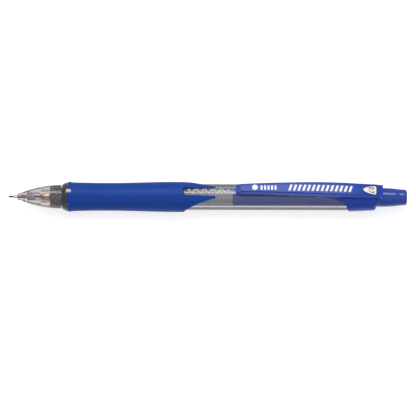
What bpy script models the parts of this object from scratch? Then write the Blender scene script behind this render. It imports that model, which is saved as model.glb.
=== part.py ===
"""A push-button mechanical pencil lying along X, its point at -X and its clip upward (+Z).

Lengths along the pencil are measured in millimetres from the tip of the lead, radii from the
pencil's axis. Every object's own origin is at the tip on that axis, except the clip, whose origin
is on the line that it flexes about.
"""

import math

import bmesh
import bpy

# Whole pencil
TOTAL_LENGTH = 147.0
AXIS_HEIGHT = 5.567
FINE = 48
COARSE = 24
THIN = 12
FIT = 0.04

# Lead and steel pipe
LEAD_RADIUS = 0.35
LEAD_LENGTH = 60.0
LEAD_BLUNT = 0.12
PIPE = {"front": 1.6, "rear": 6.3, "outer": 0.53, "inner": 0.42}
SPARE_LEAD_FRONT = 63.0
SPARE_LEAD_RING = 1.15
SPARE_LEADS = 3

# Nose cone
CONE_FRONT = 3.15
CONE_FRONT_RADIUS = 0.85
CONE_LIP_RADIUS = 1.25
CONE_SHOULDER = 4.7
CONE_SHOULDER_RADIUS = 1.5
CONE_REAR = 19.5
CONE_REAR_RADIUS = 4.37
CONE_STATIONS = 10
RETAINER_POCKET = {"front": 6.4, "radius": 1.4}
CHUCK_ROOM = {"front": 12.05, "radius": 2.2}
SOCKET = {"front": 15.3, "radius": 3.42}

# Parts inside the nose
RETAINER = {"front": 6.45, "rear": 10.05, "outer": 1.36, "inner": 0.39}
CHUCK_FRONT = 12.1
CHUCK_REAR = 36.0
CHUCK_HEAD_REAR = 14.9
CHUCK_TIP_RADIUS = 0.95
CHUCK_HEAD_RADIUS = 1.2
CHUCK_STEM_RADIUS = 0.8
CHUCK_BORE = 0.39
SLIT_WIDTH = 0.2
SLIT_REAR = 23.0
JAWS = 3
RING = {"front": 13.2, "rear": 15.35, "outer": 1.42, "inner": 1.25}
SEAT = {"front": 15.45, "rear": 22.5, "outer": 2.36, "neck": 1.05}
SEAT_SHOULDER = 17.0
SEAT_POCKET_RADIUS = 1.9

# Return spring and the collar that joins chuck and lead tube
SPRING_FRONT = 17.25
SPRING_REAR = 32.9
SPRING_COIL_RADIUS = 1.45
SPRING_WIRE_RADIUS = 0.15
SPRING_TURNS = 9
SPRING_STEPS = 16
SPRING_SIDES = 6
COLLAR_FRONT = 33.1
COLLAR_STEP = 37.9
COLLAR_REAR = 42.0
COLLAR_RADIUS = 2.46
COLLAR_SPIGOT_RADIUS = 1.86
COLLAR_CHUCK_BORE = 0.84
COLLAR_LEAD_BORE = 0.5
COLLAR_FUNNEL_RADIUS = 1.5
TUBE = {"front": 37.95, "rear": 132.0, "outer": 2.5, "inner": 1.9}

# Barrel
SPIGOT_FRONT = 15.4
SPIGOT_BORE = 2.4
SPIGOT_BORE_REAR = 24.0
THREAD_RADIUS = 3.36
THREAD_ROOT = 3.14
THREAD_PITCH = 0.8
THREAD_TURNS = 5
FLANGE_FRONT = 19.55
FLANGE_FRONT_RADIUS = 4.33
FLANGE_RADIUS = 5.27
FLANGE_REAR = 21.6
BARREL_RADIUS = 4.79
BARREL_NECK_RADIUS = 4.2
BARREL_BORE = 3.31
BARREL_REAR = 125.9
KEY = {"rear": 23.0, "half_width": 0.72, "top": 5.45}
KEY_CORNER = 0.3

# Rubber grip
GRIP_FRONT = 21.65
GRIP_LIP_RADIUS = 5.5
GRIP_LIP_REAR = 23.4
GRIP_FRONT_RADIUS = 5.34
GRIP_WAIST = 36.3
GRIP_WAIST_RADIUS = 5.11
GRIP_BULGE = 62.0
GRIP_BULGE_RADIUS = 5.567
GRIP_FALL_FRONT = 63.3
GRIP_FALL_REAR = 74.3
GRIP_TIP_RADIUS = 4.85
GRIP_BORE = 4.24
PRONG_REAR = 76.2
GRIP_REAR = 64.8
WINDOW_FRONT = 64.4
WINDOW_HALF_WIDTH = 1.62
WINDOW_CORNER = 0.8
PRONG_TIP_ANGLE = 29.6
PRONG_ROOT_ANGLE = 105.0
PRONG_CURVE = 1.9
RECESS_INNER_ANGLE = 12.0
PRONG_GAP = 0.16

# Cap with the clip's root
SLEEVE = {"front": 82.7, "rear": 125.8, "outer": 3.27, "inner": 2.58}
SLEEVE_STEP = 103.9
SLEEVE_REAR_BORE = 2.8
SLEEVE_SLOT = {"front": 109.4, "rear": 121.6, "half_width": 0.4, "angle": 95.0}
CAP_FRONT_TOP = 117.9
CAP_FRONT_BOTTOM = 125.4
CAP_EDGE_START = 27.0
CAP_EDGE_END = 115.0
CAP_RADIUS = 5.23
CAP_TAPER_FRONT = 125.0
CAP_REAR_RADIUS = 4.76
CAP_REAR = 138.0
CAP_REAR_BOTTOM = 135.5
CAP_CHAMFER_LOW = 1.37
CAP_CHAMFER_HIGH = 3.7
CAP_SOCKET = 4.84
CAP_SOCKET_REAR = 126.1
CAP_BORE = 3.56
ROOT_SLOPE_REAR = 121.5
ROOT_UNDERSIDE = 3.9

# Clip
CLIP_FRONT = 83.8
CLIP_REAR = 112.9
CLIP_GAP = 0.06
CLIP_FRONT_HALF_WIDTH = 1.55
CLIP_HALF_WIDTH = 2.52
CLIP_FULL_WIDTH_AT = 122.0
CLIP_TOP = 8.6
CLIP_TOP_AT = 100.0
CLIP_NOSE_DROP = 0.45
CLIP_TAIL_DROP = 3.4
CLIP_TAIL_CURVE = 2.6
CLIP_UNDERSIDE = 5.75
CLIP_FOOT_REAR = 88.5
CLIP_FOOT_RAMP = 3.0
CLIP_FOOT_BOTTOM = 4.3
CLIP_EDGE = 0.4
CHANNEL_WALL = 0.75
CHANNEL_ROOF = 1.0
CHANNEL_FRONT = 90.0
CHANNEL_REAR = 111.9

# Size badge on the clip's root
BADGE_FRONT = 130.3
BADGE_REAR = 135.7
BADGE_HALF_WIDTH = 1.95
BADGE_THICKNESS = 0.3
BADGE_INSET = 0.12
BADGE_ROUND_STEPS = 10

# Push button and eraser
BUTTON_FRONT = 128.2
BUTTON_RADIUS = 3.5
BUTTON_TAPER_FRONT = 137.5
BUTTON_TAPER_REAR = 145.3
BUTTON_TAPER = 0.57
BUTTON_CORNER = 0.75
BUTTON_SOCKET = 2.55
BUTTON_SOCKET_REAR = 132.15
BUTTON_ROOM = 2.05
BUTTON_ROOM_REAR = 140.5
ERASER = {"front": 126.0, "rear": 139.2, "radius": 1.7, "corner": 0.35}
FERRULE = {"front": 125.2, "rear": 131.8, "outer": 1.86, "inner": 1.74, "wall": 0.25}


def finish(name, colour, roughness, metallic=0.0):
    """A Principled material."""
    material = bpy.data.materials.new(name)
    material.use_nodes = True
    shader = material.node_tree.nodes["Principled BSDF"]
    shader.inputs["Base Color"].default_value = colour
    shader.inputs["Roughness"].default_value = roughness
    shader.inputs["Metallic"].default_value = metallic
    material.diffuse_color = colour
    return material


def make(name, points, faces, material, origin=(0.0, 0.0, 0.0)):
    """An object from points in millimetres, with its own origin at the given point."""
    mesh = bpy.data.meshes.new(name)
    local = [[(p[k] - origin[k]) / 1000 for k in range(3)] for p in points]
    mesh.from_pydata(local, [], faces)
    shape = bmesh.new()
    shape.from_mesh(mesh)
    bmesh.ops.recalc_face_normals(shape, faces=shape.faces)
    shape.to_mesh(mesh)
    shape.free()
    mesh.shade_smooth()
    mesh.set_sharp_from_angle(angle=math.radians(35))
    obj = bpy.data.objects.new(name, mesh)
    obj.location = [
        (origin[0] - TOTAL_LENGTH / 2) / 1000,
        origin[1] / 1000,
        (origin[2] + AXIS_HEIGHT) / 1000,
    ]
    if material:
        mesh.materials.append(material)
    bpy.context.scene.collection.objects.link(obj)
    return obj


def turned(name, profile, material=None, sides=FINE):
    """A closed profile of (x, radius) points turned about the pencil's axis."""
    points = []
    rings = []
    for x, radius in profile:
        if radius == 0:
            rings.append([len(points)] * sides)
            points.append((x, 0.0, 0.0))
            continue
        rings.append([len(points) + k for k in range(sides)])
        for k in range(sides):
            angle = 2 * math.pi * k / sides
            points.append((x, radius * math.sin(angle), radius * math.cos(angle)))
    faces = []
    for a, b in zip(rings, rings[1:] + rings[:1]):
        for k in range(sides):
            n = (k + 1) % sides
            corners = list(dict.fromkeys((a[k], b[k], b[n], a[n])))
            if len(corners) > 2:
                faces.append(corners)
    return make(name, points, faces, material)


def lofted(name, sections, material=None, origin=(0.0, 0.0, 0.0)):
    """A solid through sections that each hold the same number of points."""
    size = len(sections[0])
    points = [point for section in sections for point in section]
    faces = [list(range(size)), list(range(len(points) - size, len(points)))]
    for start in range(0, len(points) - size, size):
        for k in range(size):
            n = (k + 1) % size
            faces.append([start + k, start + n, start + size + n, start + size + k])
    return make(name, points, faces, material, origin)


def ring_sector(name, angles, front, rear, inner, outer):
    """A sector of a ring about the axis. front and rear give x at an angle in degrees from the top."""
    sections = []
    for angle in angles:
        across = math.sin(math.radians(angle))
        up = math.cos(math.radians(angle))
        corners = ((front, inner), (rear, inner), (rear, outer), (front, outer))
        sections.append([(x(angle), r * across, r * up) for x, r in corners])
    return lofted(name, sections)


def upright_prism(name, outline, low, high):
    """An (x, y) outline raised from low to high."""
    return lofted(name, [[(x, y, z) for x, y in outline] for z in (low, high)])


def boolean(obj, other, operation="DIFFERENCE"):
    """Cuts the other object from obj, or joins it, and hides it as a helper."""
    modifier = obj.modifiers.new(other.name, "BOOLEAN")
    modifier.operation = operation
    modifier.solver = "EXACT"
    modifier.object = other
    other.hide_render = True
    other.display_type = "WIRE"


def steps(first, last, count):
    """count + 1 evenly spaced values."""
    return [first + (last - first) * k / count for k in range(count + 1)]


def arc(x, r, radius, first, last, count):
    """Points of a circular arc about (x, r), with angles in degrees from +x towards +r."""
    angles = [math.radians(a) for a in steps(first, last, count)]
    return [(x + radius * math.cos(a), r + radius * math.sin(a)) for a in angles]


def tube(name, size, material, sides=FINE):
    """A plain tube from its front, rear, outer and inner sizes."""
    profile = [
        (size["front"], size["inner"]),
        (size["front"], size["outer"]),
        (size["rear"], size["outer"]),
        (size["rear"], size["inner"]),
    ]
    return turned(name, profile, material, sides)


def rounded_tongue(front, rear, half_width, corner):
    """The outline of a tongue along x with its two front corners rounded."""
    low = arc(front + corner, -half_width + corner, corner, 270, 180, 4)
    high = arc(front + corner, half_width - corner, corner, 180, 90, 4)
    return [(rear, -half_width)] + low + high + [(rear, half_width)]


def cone_radius(x):
    """The nose cone's outer radius behind its shoulder."""
    left = (CONE_REAR - x) / (CONE_REAR - CONE_SHOULDER)
    return CONE_REAR_RADIUS - (CONE_REAR_RADIUS - CONE_SHOULDER_RADIUS) * left**2


def grip_radius(x):
    """The grip's outer radius: a waist, a bulge and a fall to the prong tips."""
    if x < GRIP_WAIST:
        left = (GRIP_WAIST - x) / (GRIP_WAIST - GRIP_LIP_REAR)
        return GRIP_WAIST_RADIUS + (GRIP_FRONT_RADIUS - GRIP_WAIST_RADIUS) * left**2
    if x < GRIP_FALL_FRONT:
        along = min(1.0, (x - GRIP_WAIST) / (GRIP_BULGE - GRIP_WAIST))
        rise = (1 - math.cos(math.pi * along)) / 2
        return GRIP_WAIST_RADIUS + (GRIP_BULGE_RADIUS - GRIP_WAIST_RADIUS) * rise
    along = min(1.0, (x - GRIP_FALL_FRONT) / (GRIP_FALL_REAR - GRIP_FALL_FRONT))
    fall = (1 + math.cos(math.pi * along)) / 2
    return GRIP_TIP_RADIUS + (GRIP_BULGE_RADIUS - GRIP_TIP_RADIUS) * fall


def prong_edge(angle):
    """x of the grip's rear edge at an angle from the top, outside the window."""
    away = min(angle, 360 - angle)
    along = (away - PRONG_TIP_ANGLE) / (PRONG_ROOT_ANGLE - PRONG_TIP_ANGLE)
    along = min(1.0, max(0.0, along))
    return GRIP_REAR + (PRONG_REAR - GRIP_REAR) * (1 - along) ** PRONG_CURVE


def cap_edge(angle):
    """x of the cap's front edge at an angle from the top."""
    away = min(angle, 360 - angle)
    along = (away - CAP_EDGE_START) / (CAP_EDGE_END - CAP_EDGE_START)
    left = 1 - min(1.0, max(0.0, along))
    reach = CAP_FRONT_BOTTOM - CAP_FRONT_TOP
    sweep = 1.3
    return CAP_FRONT_BOTTOM - sweep * left - (reach - sweep) * left**6


def clip_half_width(x):
    """Half the width of the clip and of its root."""
    left = max(0.0, (CLIP_FULL_WIDTH_AT - x) / (CLIP_FULL_WIDTH_AT - CLIP_FRONT))
    return CLIP_HALF_WIDTH - (CLIP_HALF_WIDTH - CLIP_FRONT_HALF_WIDTH) * left**1.5


def clip_top(x):
    """Height of the clip's face above the axis: a low nose, a level run and a falling tail."""
    if x < CLIP_TOP_AT:
        left = (CLIP_TOP_AT - x) / (CLIP_TOP_AT - CLIP_FRONT)
        return CLIP_TOP - CLIP_NOSE_DROP * left**4
    along = (x - CLIP_TOP_AT) / (CAP_REAR - CLIP_TOP_AT)
    return CLIP_TOP - CLIP_TAIL_DROP * along**CLIP_TAIL_CURVE


def clip_bottom(x):
    """Height of the clip's underside, with the foot at its front."""
    along = min(1.0, max(0.0, (x - CLIP_FOOT_REAR) / CLIP_FOOT_RAMP))
    return CLIP_FOOT_BOTTOM + (CLIP_UNDERSIDE - CLIP_FOOT_BOTTOM) * math.sqrt(along)


def bar_section(x, half_width, bottom, top):
    """A section across the clip with its two upper edges rounded."""
    far = arc(half_width - CLIP_EDGE, top - CLIP_EDGE, CLIP_EDGE, 0, 90, 3)
    near = [(-y, z) for y, z in reversed(far)]
    outline = [(-half_width, bottom), (half_width, bottom)] + far + near
    return [(x, y, z) for y, z in outline]


def build_lead(name, front, across, up, material):
    """One stick of lead, its front end blunted."""
    rear = front + LEAD_LENGTH
    outline = (
        (front, LEAD_RADIUS - LEAD_BLUNT),
        (front + LEAD_BLUNT, LEAD_RADIUS),
        (rear, LEAD_RADIUS),
    )
    sections = []
    for x, radius in outline:
        angles = [2 * math.pi * k / THIN for k in range(THIN)]
        ring = [(across + radius * math.sin(a), up + radius * math.cos(a)) for a in angles]
        sections.append([(x, y, z) for y, z in ring])
    return lofted(name, sections, material)


def build_leads():
    """The lead in use on the axis, and the loose spares round the inside of the tube."""
    build_lead("lead_in_use", 0.0, 0.0, 0.0, finish("lead", (0.04, 0.04, 0.045, 1), 0.45))
    graphite = finish("spare_lead", (0.05, 0.05, 0.055, 1), 0.45)
    for k in range(SPARE_LEADS):
        angle = 2 * math.pi * (k + 0.5) / SPARE_LEADS
        across = SPARE_LEAD_RING * math.sin(angle)
        up = SPARE_LEAD_RING * math.cos(angle)
        build_lead(f"spare_lead_{k + 1}", SPARE_LEAD_FRONT, across, up, graphite)


def build_nose():
    """The see-through cone, the steel pipe in its point and the rubber lead retainer."""
    outer = arc(CONE_FRONT + 0.4, CONE_FRONT_RADIUS, 0.4, 180, 90, 3)
    outer += [(x, cone_radius(x)) for x in steps(CONE_SHOULDER, CONE_REAR, CONE_STATIONS)]
    inner = [
        (CONE_REAR, SOCKET["radius"]),
        (SOCKET["front"], SOCKET["radius"]),
        (SOCKET["front"], CHUCK_ROOM["radius"]),
        (CHUCK_ROOM["front"], CHUCK_ROOM["radius"]),
        (CHUCK_ROOM["front"], RETAINER_POCKET["radius"]),
        (RETAINER_POCKET["front"], RETAINER_POCKET["radius"]),
        (RETAINER_POCKET["front"], PIPE["outer"] + FIT),
        (CONE_FRONT, PIPE["outer"] + FIT),
    ]
    smoke = finish("smoky_plastic", (0.46, 0.40, 0.42, 0.45), 0.1)
    turned("nose_cone", outer + inner, smoke)
    tube("lead_pipe", PIPE, finish("steel", (0.62, 0.6, 0.57, 1), 0.25, 1.0), COARSE)
    rubber = finish("retainer_rubber", (0.6, 0.55, 0.56, 1), 0.6)
    tube("lead_retainer", RETAINER, rubber, COARSE)


def build_chuck():
    """The slit brass chuck, the ring that closes it, its seat and the collar behind it."""
    profile = [
        (CHUCK_FRONT, CHUCK_BORE),
        (CHUCK_FRONT, CHUCK_TIP_RADIUS),
        (RING["front"], CHUCK_HEAD_RADIUS),
        (CHUCK_HEAD_REAR, CHUCK_HEAD_RADIUS),
        (RING["rear"], CHUCK_STEM_RADIUS),
        (CHUCK_REAR, CHUCK_STEM_RADIUS),
        (CHUCK_REAR, CHUCK_BORE),
    ]
    brass = finish("brass", (0.56, 0.4, 0.2, 1), 0.3, 1.0)
    chuck = turned("lead_chuck", profile, brass, COARSE)
    for k in range(JAWS):
        angle = 2 * math.pi * k / JAWS
        across = (math.cos(angle), -math.sin(angle))
        out = (math.sin(angle), math.cos(angle))
        corners = []
        for side, reach in ((-0.5, 0.25), (0.5, 0.25), (0.5, 1.6), (-0.5, 1.6)):
            width = side * SLIT_WIDTH
            corners.append([width * across[j] + reach * out[j] for j in (0, 1)])
        ends = (CHUCK_FRONT - 1, SLIT_REAR)
        slit = lofted(f"slit_{k}", [[(x, y, z) for y, z in corners] for x in ends])
        boolean(chuck, slit)
    tube("clutch_ring", RING, finish("ring_brass", (0.66, 0.49, 0.26, 1), 0.25, 1.0), COARSE)
    seat = [
        (SEAT["front"], SEAT["neck"]),
        (SEAT["front"], SEAT["outer"]),
        (SEAT["rear"], SEAT["outer"]),
        (SEAT["rear"], SEAT_POCKET_RADIUS),
        (SEAT_SHOULDER, SEAT_POCKET_RADIUS),
        (SEAT_SHOULDER, SEAT["neck"]),
    ]
    turned("chuck_seat", seat, finish("seat_plastic", (0.2, 0.2, 0.23, 1), 0.4), COARSE)
    collar = [
        (COLLAR_FRONT, COLLAR_CHUCK_BORE),
        (COLLAR_FRONT, COLLAR_RADIUS),
        (COLLAR_STEP, COLLAR_RADIUS),
        (COLLAR_STEP, COLLAR_SPIGOT_RADIUS),
        (COLLAR_REAR, COLLAR_SPIGOT_RADIUS),
        (COLLAR_REAR, COLLAR_FUNNEL_RADIUS),
        (COLLAR_STEP + 1, COLLAR_LEAD_BORE),
        (CHUCK_REAR + 0.1, COLLAR_LEAD_BORE),
        (CHUCK_REAR + 0.1, COLLAR_CHUCK_BORE),
    ]
    white = finish("collar_plastic", (0.75, 0.75, 0.74, 1), 0.4)
    turned("chuck_collar", collar, white, COARSE)


def build_spring():
    """The return spring as a round wire wound round the chuck's stem."""
    count = SPRING_TURNS * SPRING_STEPS
    sections = []
    for k in range(count + 1):
        angle = 2 * math.pi * k / SPRING_STEPS
        x = SPRING_FRONT + (SPRING_REAR - SPRING_FRONT) * k / count
        out = (math.sin(angle), math.cos(angle))
        ring = []
        for j in range(SPRING_SIDES):
            turn = 2 * math.pi * j / SPRING_SIDES
            radius = SPRING_COIL_RADIUS + SPRING_WIRE_RADIUS * math.cos(turn)
            along = x + SPRING_WIRE_RADIUS * math.sin(turn)
            ring.append((along, radius * out[0], radius * out[1]))
        sections.append(ring)
    lofted("return_spring", sections, finish("spring_steel", (0.5, 0.5, 0.5, 1), 0.3, 1.0))


def build_barrel():
    """The clear barrel: threaded spigot, flange with its key, neck under the grip, and tube."""
    thread = []
    for k in range(THREAD_TURNS):
        start = SPIGOT_FRONT + k * THREAD_PITCH
        thread += [
            (start, THREAD_ROOT),
            (start + THREAD_PITCH * 0.35, THREAD_RADIUS),
            (start + THREAD_PITCH * 0.65, THREAD_RADIUS),
        ]
    profile = thread + [
        (SPIGOT_FRONT + THREAD_TURNS * THREAD_PITCH, THREAD_ROOT),
        (FLANGE_FRONT, THREAD_ROOT),
        (FLANGE_FRONT, FLANGE_FRONT_RADIUS),
        (FLANGE_REAR - 0.5, FLANGE_RADIUS),
        (FLANGE_REAR, FLANGE_RADIUS),
        (FLANGE_REAR, BARREL_NECK_RADIUS),
        (WINDOW_FRONT + FIT, BARREL_NECK_RADIUS),
        (GRIP_REAR + FIT, BARREL_NECK_RADIUS),
        (GRIP_REAR + FIT, BARREL_RADIUS),
        (BARREL_REAR, BARREL_RADIUS),
        (BARREL_REAR, BARREL_BORE),
        (SPIGOT_BORE_REAR, BARREL_BORE),
        (SPIGOT_BORE_REAR, SPIGOT_BORE),
        (SPIGOT_FRONT, SPIGOT_BORE),
    ]
    clear = finish("clear_plastic", (0.6, 0.61, 0.64, 0.35), 0.08)
    barrel = turned("barrel", profile, clear)

    angles = steps(RECESS_INNER_ANGLE, 360 - RECESS_INNER_ANGLE, 96)
    recess = ring_sector(
        "prong_recess",
        angles,
        lambda angle: GRIP_REAR - 1,
        lambda angle: prong_edge(angle) + PRONG_GAP,
        BARREL_NECK_RADIUS,
        BARREL_RADIUS + 1,
    )
    boolean(barrel, recess)
    tongue = rounded_tongue(
        WINDOW_FRONT + FIT,
        PRONG_REAR + 1,
        WINDOW_HALF_WIDTH - FIT,
        WINDOW_CORNER,
    )
    island = upright_prism("window_island", tongue, BARREL_NECK_RADIUS - 0.45, BARREL_RADIUS + 1)
    round_top = turned(
        "island_round",
        [(60.0, 0), (60.0, BARREL_RADIUS), (80.0, BARREL_RADIUS), (80.0, 0)],
    )
    boolean(island, round_top, "INTERSECT")
    boolean(barrel, island, "UNION")
    nub = rounded_tongue(0, KEY["rear"] - FLANGE_REAR + 0.6, KEY["half_width"], KEY_CORNER)
    outline = [(KEY["rear"] - x, y) for x, y in nub]
    key = upright_prism("key", outline, BARREL_NECK_RADIUS - 0.4, KEY["top"])
    boolean(barrel, key, "UNION")


def build_grip():
    """The rubber grip, with its window, its two prongs and the notch for the barrel's key."""
    profile = [(GRIP_FRONT, GRIP_BORE)]
    profile += arc(GRIP_FRONT + 0.45, GRIP_LIP_RADIUS - 0.45, 0.45, 180, 90, 3)
    profile += [(GRIP_LIP_REAR - 0.5, GRIP_LIP_RADIUS)]
    profile += [(x, grip_radius(x)) for x in steps(GRIP_LIP_REAR, GRIP_FALL_FRONT, 16)]
    profile += [(x, grip_radius(x)) for x in steps(65.0, GRIP_FALL_REAR, 6)]
    profile += [(PRONG_REAR, GRIP_TIP_RADIUS), (PRONG_REAR, GRIP_BORE)]
    blue = finish("grip_rubber", (0.012, 0.056, 0.26, 1), 0.55)
    grip = turned("grip", profile, blue)

    angles = steps(PRONG_TIP_ANGLE, 360 - PRONG_TIP_ANGLE, 84)
    rear_cut = ring_sector(
        "rear_cut",
        angles,
        prong_edge,
        lambda angle: PRONG_REAR + 2,
        GRIP_BORE - 1,
        GRIP_BULGE_RADIUS + 1,
    )
    boolean(grip, rear_cut)
    tongue = rounded_tongue(WINDOW_FRONT, PRONG_REAR + 2, WINDOW_HALF_WIDTH, WINDOW_CORNER)
    boolean(grip, upright_prism("window_cut", tongue, 2.0, 8.0))
    half = KEY["half_width"] + FIT
    nub = rounded_tongue(0, KEY["rear"] - GRIP_FRONT + 1, half, KEY_CORNER)
    outline = [(KEY["rear"] + FIT - x, y) for x, y in nub]
    boolean(grip, upright_prism("key_cut", outline, 2.0, 8.0))


def build_sleeve():
    """The blue sleeve inside the barrel, with a step in its bore and a slot in each side."""
    profile = [
        (SLEEVE["front"], SLEEVE["inner"]),
        (SLEEVE["front"], SLEEVE["outer"]),
        (SLEEVE["rear"], SLEEVE["outer"]),
        (SLEEVE["rear"], SLEEVE_REAR_BORE),
        (SLEEVE_STEP, SLEEVE_REAR_BORE),
        (SLEEVE_STEP, SLEEVE["inner"]),
    ]
    blue = finish("sleeve_plastic", (0.1, 0.14, 0.42, 0.6), 0.15)
    sleeve = turned("inner_sleeve", profile, blue)
    spread = math.degrees(SLEEVE_SLOT["half_width"] / SLEEVE["outer"])
    for side, angle in enumerate((SLEEVE_SLOT["angle"], 360 - SLEEVE_SLOT["angle"])):
        slot = ring_sector(
            f"sleeve_slot_{side}",
            steps(angle - spread, angle + spread, 2),
            lambda angle: SLEEVE_SLOT["front"],
            lambda angle: SLEEVE_SLOT["rear"],
            SLEEVE["inner"] - 1,
            SLEEVE["outer"] + 1,
        )
        boolean(sleeve, slot)


def build_cap():
    """The cap on the barrel's rear end, carrying the clip's root and the push button's bore."""
    front = CAP_FRONT_TOP - 0.5
    profile = [
        (front, 0),
        (front, CAP_RADIUS),
        (CAP_TAPER_FRONT, CAP_RADIUS),
        (CAP_REAR, CAP_REAR_RADIUS),
        (CAP_REAR, 0),
    ]
    blue = finish("cap_plastic", (0.04, 0.09, 0.38, 0.7), 0.12)
    cap = turned("cap", profile, blue)

    stations = steps(CLIP_REAR + CLIP_GAP, ROOT_SLOPE_REAR, 3)
    stations += steps(ROOT_SLOPE_REAR + 2, CAP_REAR, 9)
    sections = []
    for x in stations:
        along = min(1.0, (x - CLIP_REAR) / (ROOT_SLOPE_REAR - CLIP_REAR))
        bottom = CLIP_UNDERSIDE - (CLIP_UNDERSIDE - ROOT_UNDERSIDE) * along
        sections.append(bar_section(x, clip_half_width(x), bottom, clip_top(x)))
    boolean(cap, lofted("clip_root", sections), "UNION")

    angles = steps(CAP_EDGE_START, 360 - CAP_EDGE_START, 48)
    front_cut = ring_sector(
        "front_cut",
        angles,
        lambda angle: front - 2,
        cap_edge,
        CAP_SOCKET - 1.5,
        CAP_RADIUS + 0.3,
    )
    boolean(cap, front_cut)
    bores = [
        (front - 8, 0),
        (front - 8, CAP_SOCKET),
        (CAP_SOCKET_REAR, CAP_SOCKET),
        (CAP_SOCKET_REAR, CAP_BORE),
        (CAP_REAR + 2, CAP_BORE),
        (CAP_REAR + 2, 0),
    ]
    boolean(cap, turned("cap_bores", bores))
    slant = (CAP_CHAMFER_HIGH - CAP_CHAMFER_LOW) / (CAP_REAR - CAP_REAR_BOTTOM)
    outline = [
        (CAP_REAR_BOTTOM, -9.0),
        (CAP_REAR_BOTTOM, CAP_CHAMFER_LOW),
        (CAP_REAR + 2, CAP_CHAMFER_HIGH + 2 * slant),
        (CAP_REAR + 2, -9.0),
    ]
    rear_cut = lofted("cap_rear_cut", [[(x, y, z) for x, z in outline] for y in (-9.0, 9.0)])
    boolean(cap, rear_cut)
    boolean(cap, badge_plate("badge_pocket", BADGE_INSET + FIT, FIT))


def badge_plate(name, depth, grow, material=None):
    """A shield with its point forward, lying on the sloping face of the clip's root.

    depth is how far it goes into that face, and grow widens its outline all round.
    """
    half = BADGE_HALF_WIDTH + grow
    rear_middle = BADGE_REAR - half
    outline = arc(rear_middle, 0.0, half, -90, 90, BADGE_ROUND_STEPS)
    outline[0] = (rear_middle, -half)
    front = BADGE_FRONT - grow
    outline += [(front + 1.3, half * 0.72), (front + 0.4, half * 0.3)]
    outline += [(front + 0.4, -half * 0.3), (front + 1.3, -half * 0.72)]
    low, high = clip_top(BADGE_FRONT), clip_top(BADGE_REAR)
    sections = []
    for lift in (-depth, BADGE_THICKNESS - BADGE_INSET):
        section = []
        for x, y in outline:
            along = (x - BADGE_FRONT) / (BADGE_REAR - BADGE_FRONT)
            section.append((x, y, low + (high - low) * along + lift))
        sections.append(section)
    return lofted(name, sections, material)


def build_clip():
    """The clip: a bar with a channel in its underside and a foot that meets the barrel."""
    origin = (CLIP_REAR, 0.0, clip_top(CLIP_REAR))
    blue = finish("clip_plastic", (0.07, 0.12, 0.42, 0.75), 0.12)
    stations = [CLIP_FRONT, CLIP_FRONT + 0.35, CLIP_FRONT + 1.0, 86.5]
    stations += [CLIP_FOOT_REAR, 89.0, 90.0, CLIP_FOOT_REAR + CLIP_FOOT_RAMP]
    stations += steps(94.0, CLIP_REAR, 7)
    sections = []
    for x in stations:
        round_off = max(0.0, CLIP_FRONT + 1.0 - x) ** 2
        half_width = clip_half_width(x) - 0.5 * round_off
        top = clip_top(x) - 0.55 * round_off
        sections.append(bar_section(x, half_width, clip_bottom(x), top))
    clip = lofted("clip", sections, blue, origin)
    hollow = []
    for x in steps(CHANNEL_FRONT, CHANNEL_REAR, 3):
        half_width = clip_half_width(x) - CHANNEL_WALL
        hollow.append(bar_section(x, half_width, 4.0, clip_top(x) - CHANNEL_ROOF))
    boolean(clip, lofted("channel", hollow))
    seat = [(80.0, 0), (80.0, CAP_SOCKET), (CLIP_REAR + 2, CAP_SOCKET), (CLIP_REAR + 2, 0)]
    boolean(clip, turned("barrel_room", seat))


def build_button():
    """The push button with its socket for the lead tube, and the eraser in its ferrule."""
    profile = [
        (BUTTON_FRONT, BUTTON_SOCKET),
        (BUTTON_FRONT, BUTTON_RADIUS - 0.2),
        (BUTTON_FRONT + 0.2, BUTTON_RADIUS),
    ]
    for x in steps(BUTTON_TAPER_FRONT, BUTTON_TAPER_REAR, 6):
        along = (x - BUTTON_TAPER_FRONT) / (BUTTON_TAPER_REAR - BUTTON_TAPER_FRONT)
        profile.append((x, BUTTON_RADIUS - BUTTON_TAPER * along**2))
    corner_x = TOTAL_LENGTH - BUTTON_CORNER
    profile += arc(corner_x, profile[-1][1] - BUTTON_CORNER - 0.1, BUTTON_CORNER, 90, 0, 5)
    profile += [
        (TOTAL_LENGTH, 0),
        (BUTTON_ROOM_REAR, 0),
        (BUTTON_ROOM_REAR, BUTTON_ROOM),
        (BUTTON_SOCKET_REAR, BUTTON_ROOM),
        (BUTTON_SOCKET_REAR, BUTTON_SOCKET),
    ]
    turned("push_button", profile, finish("button_plastic", (0.01, 0.05, 0.31, 1), 0.2))
    corner = ERASER["corner"]
    outline = [(ERASER["front"], 0), (ERASER["front"], ERASER["radius"])]
    outline += arc(ERASER["rear"] - corner, ERASER["radius"] - corner, corner, 90, 0, 3)
    outline += [(ERASER["rear"], 0)]
    turned("eraser", outline, finish("eraser_vinyl", (0.85, 0.85, 0.83, 1), 0.7), COARSE)
    floor = FERRULE["front"] + FERRULE["wall"]
    cup = [
        (FERRULE["front"], 0),
        (FERRULE["front"], FERRULE["outer"]),
        (FERRULE["rear"], FERRULE["outer"]),
        (FERRULE["rear"], FERRULE["inner"]),
        (floor, FERRULE["inner"]),
        (floor, 0),
    ]
    metal = finish("ferrule_aluminium", (0.75, 0.75, 0.76, 1), 0.3, 1.0)
    turned("eraser_ferrule", cup, metal, COARSE)


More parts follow.
